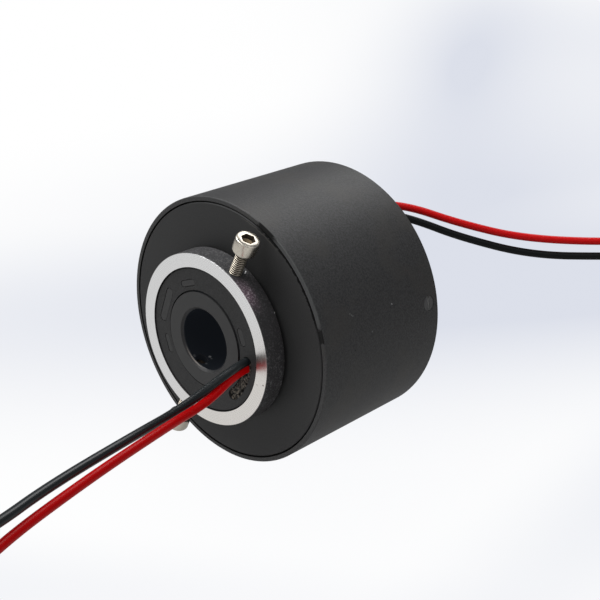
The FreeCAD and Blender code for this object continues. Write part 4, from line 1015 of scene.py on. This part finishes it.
def make_lead(place, colour, lead, body):
    """A free lead: its seen stretch, its tied coil, a short tail and the stripped end."""
    route = [tuple(value * MM for value in point) for point in lead["route"]]
    ahead, up, sideways, centre, radius = coil_frame(route, lead["side"])
    points = [Vector(point) for point in route[:-1]]
    control_radius = radius / math.cos(math.pi / COIL_POINTS)
    for step in range(int(COIL_POINTS * COIL_TURNS) + 1):
        angle = math.tau * step / COIL_POINTS
        turn = ahead * math.sin(angle) + up * math.cos(angle)
        shift = sideways * (COIL_PITCH * angle / math.tau)
        points.append(centre + turn * control_radius + shift)
    clear = (LEAD_DIAMETER + COIL_CLEARANCE) / 2
    last = centre + sideways * (COIL_PITCH * COIL_TURNS)
    for reach, rise in ((1.2 * clear, 0.35 * TAIL_LENGTH), (2.0 * clear, 0.70 * TAIL_LENGTH)):
        points.append(last - ahead * (radius + reach) + up * rise)
    tip = points[-1]
    name = f"{place}_{colour}_wire"
    data = bpy.data.curves.new(name, "CURVE")
    data.dimensions = "3D"
    spline = data.splines.new("NURBS")
    spline.points.add(len(points) - 1)
    for target, point in zip(spline.points, points):
        target.co = (*point, 1.0)
    spline.order_u = 3
    spline.use_endpoint_u = True
    data.resolution_u = 12
    data.bevel_depth = LEAD_DIAMETER / 2
    data.bevel_resolution = 8
    data.use_fill_caps = True
    data.materials.append(SLOT_FINISH[f"lead_{colour}"])
    wire = bpy.data.objects.new(name, data)
    scene.collection.objects.link(wire)
    node = f"{place}_lead_{colour}"
    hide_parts(node, f"{node}_coil")
    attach(wire, body)
    end = make_stripped_end(place, colour, tip, (up - ahead * 0.35).normalized(), body)
    tie = make_tie(place, colour, centre, ahead, up, sideways, radius, body)


def make_stripped_end(place, colour, tip, direction, body):
    """Seven tinned strands with a slight twist: one in the middle, six round it."""
    outer_strands, twist = 6, 1.6
    strand = STRIPPED_DIAMETER / 6
    bm = bmesh.new()
    for number in range(outer_strands + 1):
        before = set(bm.verts)
        bmesh.ops.create_cone(
            bm, cap_ends=True, segments=10, radius1=strand, radius2=strand, depth=STRIPPED_LENGTH
        )
        made = {vert for vert in bm.verts if vert not in before}
        sides = [edge for edge in bm.edges if edge.verts[0] in made and edge.calc_length() > 1 * MM]
        bmesh.ops.subdivide_edges(bm, edges=sides, cuts=8, use_grid_fill=True)
        offset = 0.0 if number == 0 else 2 * strand
        for vert in (vert for vert in bm.verts if vert not in before):
            turn = vert.co.z / STRIPPED_LENGTH * twist + number * math.tau / outer_strands
            x, y = vert.co.x + offset, vert.co.y
            vert.co.x = x * math.cos(turn) - y * math.sin(turn)
            vert.co.y = x * math.sin(turn) + y * math.cos(turn)
    lie = direction.to_track_quat("Z", "Y").to_matrix().to_4x4()
    middle = tip + direction * (STRIPPED_LENGTH / 2)
    bmesh.ops.transform(bm, matrix=Matrix.Translation(middle) @ lie, verts=bm.verts[:])
    name = f"{place}_{colour}_strands"
    return settle(bm, name, body, "tinned", [f"{place}_lead_ends"])


def make_tie(place, colour, centre, ahead, up, sideways, radius, body):
    """A flat band with rounded edges round the coil's bundle, at the coil's foot."""
    clear, thick, breadth, corner = 0.15 * MM, 0.4 * MM, 2.4 * MM, 0.35 * MM
    wide = COIL_PITCH * COIL_TURNS + LEAD_DIAMETER + COIL_CLEARANCE
    tall = LEAD_DIAMETER + COIL_CLEARANCE
    bm = bmesh.new()
    for grow in (clear, clear + thick):
        made = bmesh.ops.create_grid(bm, x_segments=1, y_segments=1, size=0.5)["verts"]
        size = Matrix.Diagonal((wide + 2 * grow, tall + 2 * grow, 1.0, 1.0))
        bmesh.ops.transform(bm, matrix=size, verts=made)
    bmesh.ops.delete(bm, geom=bm.faces[:], context="FACES_ONLY")
    bmesh.ops.bevel(
        bm,
        geom=bm.verts[:],
        offset=corner,
        affect="VERTICES",
        segments=4,
        profile=0.5,
        material=-1,
    )
    faces = bmesh.ops.bridge_loops(bm, edges=bm.edges[:])["faces"]
    grown = bmesh.ops.extrude_face_region(bm, geom=faces)["geom"]
    moved = [item for item in grown if isinstance(item, bmesh.types.BMVert)]
    bmesh.ops.translate(bm, verts=moved, vec=(0.0, 0.0, breadth))
    bmesh.ops.translate(bm, verts=bm.verts[:], vec=(0.0, 0.0, -breadth / 2))
    bundle = centre + sideways * (COIL_PITCH * COIL_TURNS / 2) - up * radius
    axes = Matrix((sideways, up, ahead)).transposed().to_4x4()
    bmesh.ops.transform(bm, matrix=Matrix.Translation(bundle) @ axes, verts=bm.verts[:])
    node = f"{place}_lead_{colour}_tie"
    return settle(bm, f"{place}_{colour}_tie", body, "tie_plastic", [node])


for colour, lead in FRONT_LEADS.items():
    make_lead("front", colour, lead, "rotor")
for colour, lead in REAR_LEADS.items():
    make_lead("rear", colour, lead, "stator")


# floor, world and lamps
FLOOR_HEIGHT = -0.30
FLOOR_RADIUS = 7.0
HAZE = (0.66, 0.693, 0.788)
HAZE_LIMIT = 0.84
# each patch's middle, its turn in degrees, its reach along and across, and its amount
HAZE_PATCHES = [
    ((-0.983, 1.458), 123.2, (1.99, 0.30), 0.78),
    ((-0.542, 0.908), 78.9, (1.20, 0.60), 0.54),
    ((0.223, 1.399), 141.1, (0.31, 2.89), 1.40),
    ((-0.854, -0.281), 37.1, (1.20, 0.09), 1.36),
    ((-0.122, 1.077), 90.9, (1.27, 0.10), 1.39),
    ((-0.431, 1.596), 143.3, (3.30, 0.92), 0.74),
]
LAMP_DISTANCE = 0.9
# each lamp's name, direction from the drum, size and power
LAMPS = [
    ("back_softbox", (-0.24, 0.67, 0.71), 0.45, 2.35),
    ("upper_softbox", (-0.5, -0.3, 0.8), 0.6, 7.4),
    ("front_softbox", (0.0, -0.4, 0.92), 0.5, 2.5),
    ("front_fill", (0.35, -0.9, 0.35), 0.6, 0.8),
    ("right_fill", (0.9, 0.0, 0.4), 0.6, 0.9),
    ("edge_softbox", (0.5, 0.1, 0.86), 0.4, 0.7),
]


def seen_directly(tree, path):
    return math_node(tree, "MAXIMUM", path.outputs["Is Camera Ray"], path.outputs["Is Transmission Ray"])


def mix_shader(tree, share, first, second):
    node = add(tree, "ShaderNodeMixShader")
    tree.links.new(share, node.inputs[0])
    tree.links.new(first.outputs[0], node.inputs[1])
    tree.links.new(second.outputs[0], node.inputs[2])
    return node


def haze_amount(tree):
    """How hazy the backdrop is at a place: soft patches laid over each other, up to a limit."""
    total = 0.0
    for (x, y), turn, (long, wide), amount in HAZE_PATCHES:
        mapping = add(tree, "ShaderNodeMapping", vector_type="TEXTURE")
        mapping.inputs["Location"].default_value = (x, y, FLOOR_HEIGHT)
        mapping.inputs["Rotation"].default_value = (0.0, 0.0, math.radians(turn))
        mapping.inputs["Scale"].default_value = (long, wide, 1.0)
        tree.links.new(object_place(tree), mapping.inputs["Vector"])
        ball = add(tree, "ShaderNodeTexGradient", gradient_type="QUADRATIC_SPHERE")
        tree.links.new(mapping.outputs[0], ball.inputs[0])
        total = math_node(tree, "MULTIPLY_ADD", ball.outputs["Fac"], amount, total)
    return math_node(tree, "MINIMUM", total, HAZE_LIMIT)


def make_floor():
    """A white backdrop with a bluish haze; it is darker where the glossy parts mirror it."""
    bm = bmesh.new()
    bmesh.ops.create_circle(bm, cap_ends=True, segments=96, radius=FLOOR_RADIUS)
    bmesh.ops.translate(bm, verts=bm.verts[:], vec=(0.0, 0.0, FLOOR_HEIGHT))
    mesh = bpy.data.meshes.new("floor")
    bm.to_mesh(mesh)
    bm.free()
    material = bpy.data.materials.new("floor_paint")
    material.use_nodes = True
    tree = material.node_tree
    tree.nodes.clear()
    lit = add(tree, "ShaderNodeEmission")
    tree.links.new(mix_colour(tree, haze_amount(tree), (1.0, 1.0, 1.0), HAZE), lit.inputs["Color"])
    along = object_parts(tree)["Y"]
    mirrored = add(tree, "ShaderNodeEmission")
    strength = ranged(tree, along, -0.25, 0.15, 0.78, 0.42, "SMOOTHSTEP")
    tree.links.new(strength, mirrored.inputs["Strength"])
    paint = add(tree, "ShaderNodeBsdfDiffuse")
    paint.inputs["Color"].default_value = (0.8, 0.8, 0.8, 1.0)
    path = add(tree, "ShaderNodeLightPath")
    below = mix_shader(tree, path.outputs["Is Glossy Ray"], paint, mirrored)
    both = mix_shader(tree, seen_directly(tree, path), below, lit)
    out = add(tree, "ShaderNodeOutputMaterial")
    tree.links.new(both.outputs[0], out.inputs["Surface"])
    mesh.materials.append(material)
    floor = bpy.data.objects.new("floor", mesh)
    scene.collection.objects.link(floor)


def make_background(tree, colour, strength):
    background = add(tree, "ShaderNodeBackground")
    background.inputs["Color"].default_value = colour
    background.inputs["Strength"].default_value = strength
    return background


def make_world():
    """A dim room round the part, which the camera sees as white."""
    world = bpy.data.worlds.new("studio")
    world.use_nodes = True
    scene.world = world
    tree = world.node_tree
    tree.nodes.clear()
    room = make_background(tree, (0.93, 0.95, 1.0, 1.0), 0.18)
    sight = make_background(tree, (0.97, 0.98, 1.0, 1.0), 1.0)
    both = mix_shader(tree, seen_directly(tree, add(tree, "ShaderNodeLightPath")), room, sight)
    out = add(tree, "ShaderNodeOutputWorld")
    tree.links.new(both.outputs[0], out.inputs["Surface"])


def add_lamp(name, direction, size, energy):
    """A square lamp aimed at the drum."""
    data = bpy.data.lights.new(name, "AREA")
    data.size = size
    data.energy = energy
    lamp = bpy.data.objects.new(name, data)
    aim = Vector(direction).normalized()
    lamp.location = Vector((0.0, 0.015, 0.0)) + aim * LAMP_DISTANCE
    lamp.rotation_euler = (-aim).to_track_quat("-Z", "Y").to_euler()
    scene.collection.objects.link(lamp)


make_floor()
make_world()
for lamp in LAMPS:
    add_lamp(*lamp)

scene.view_settings.view_transform = "Standard"
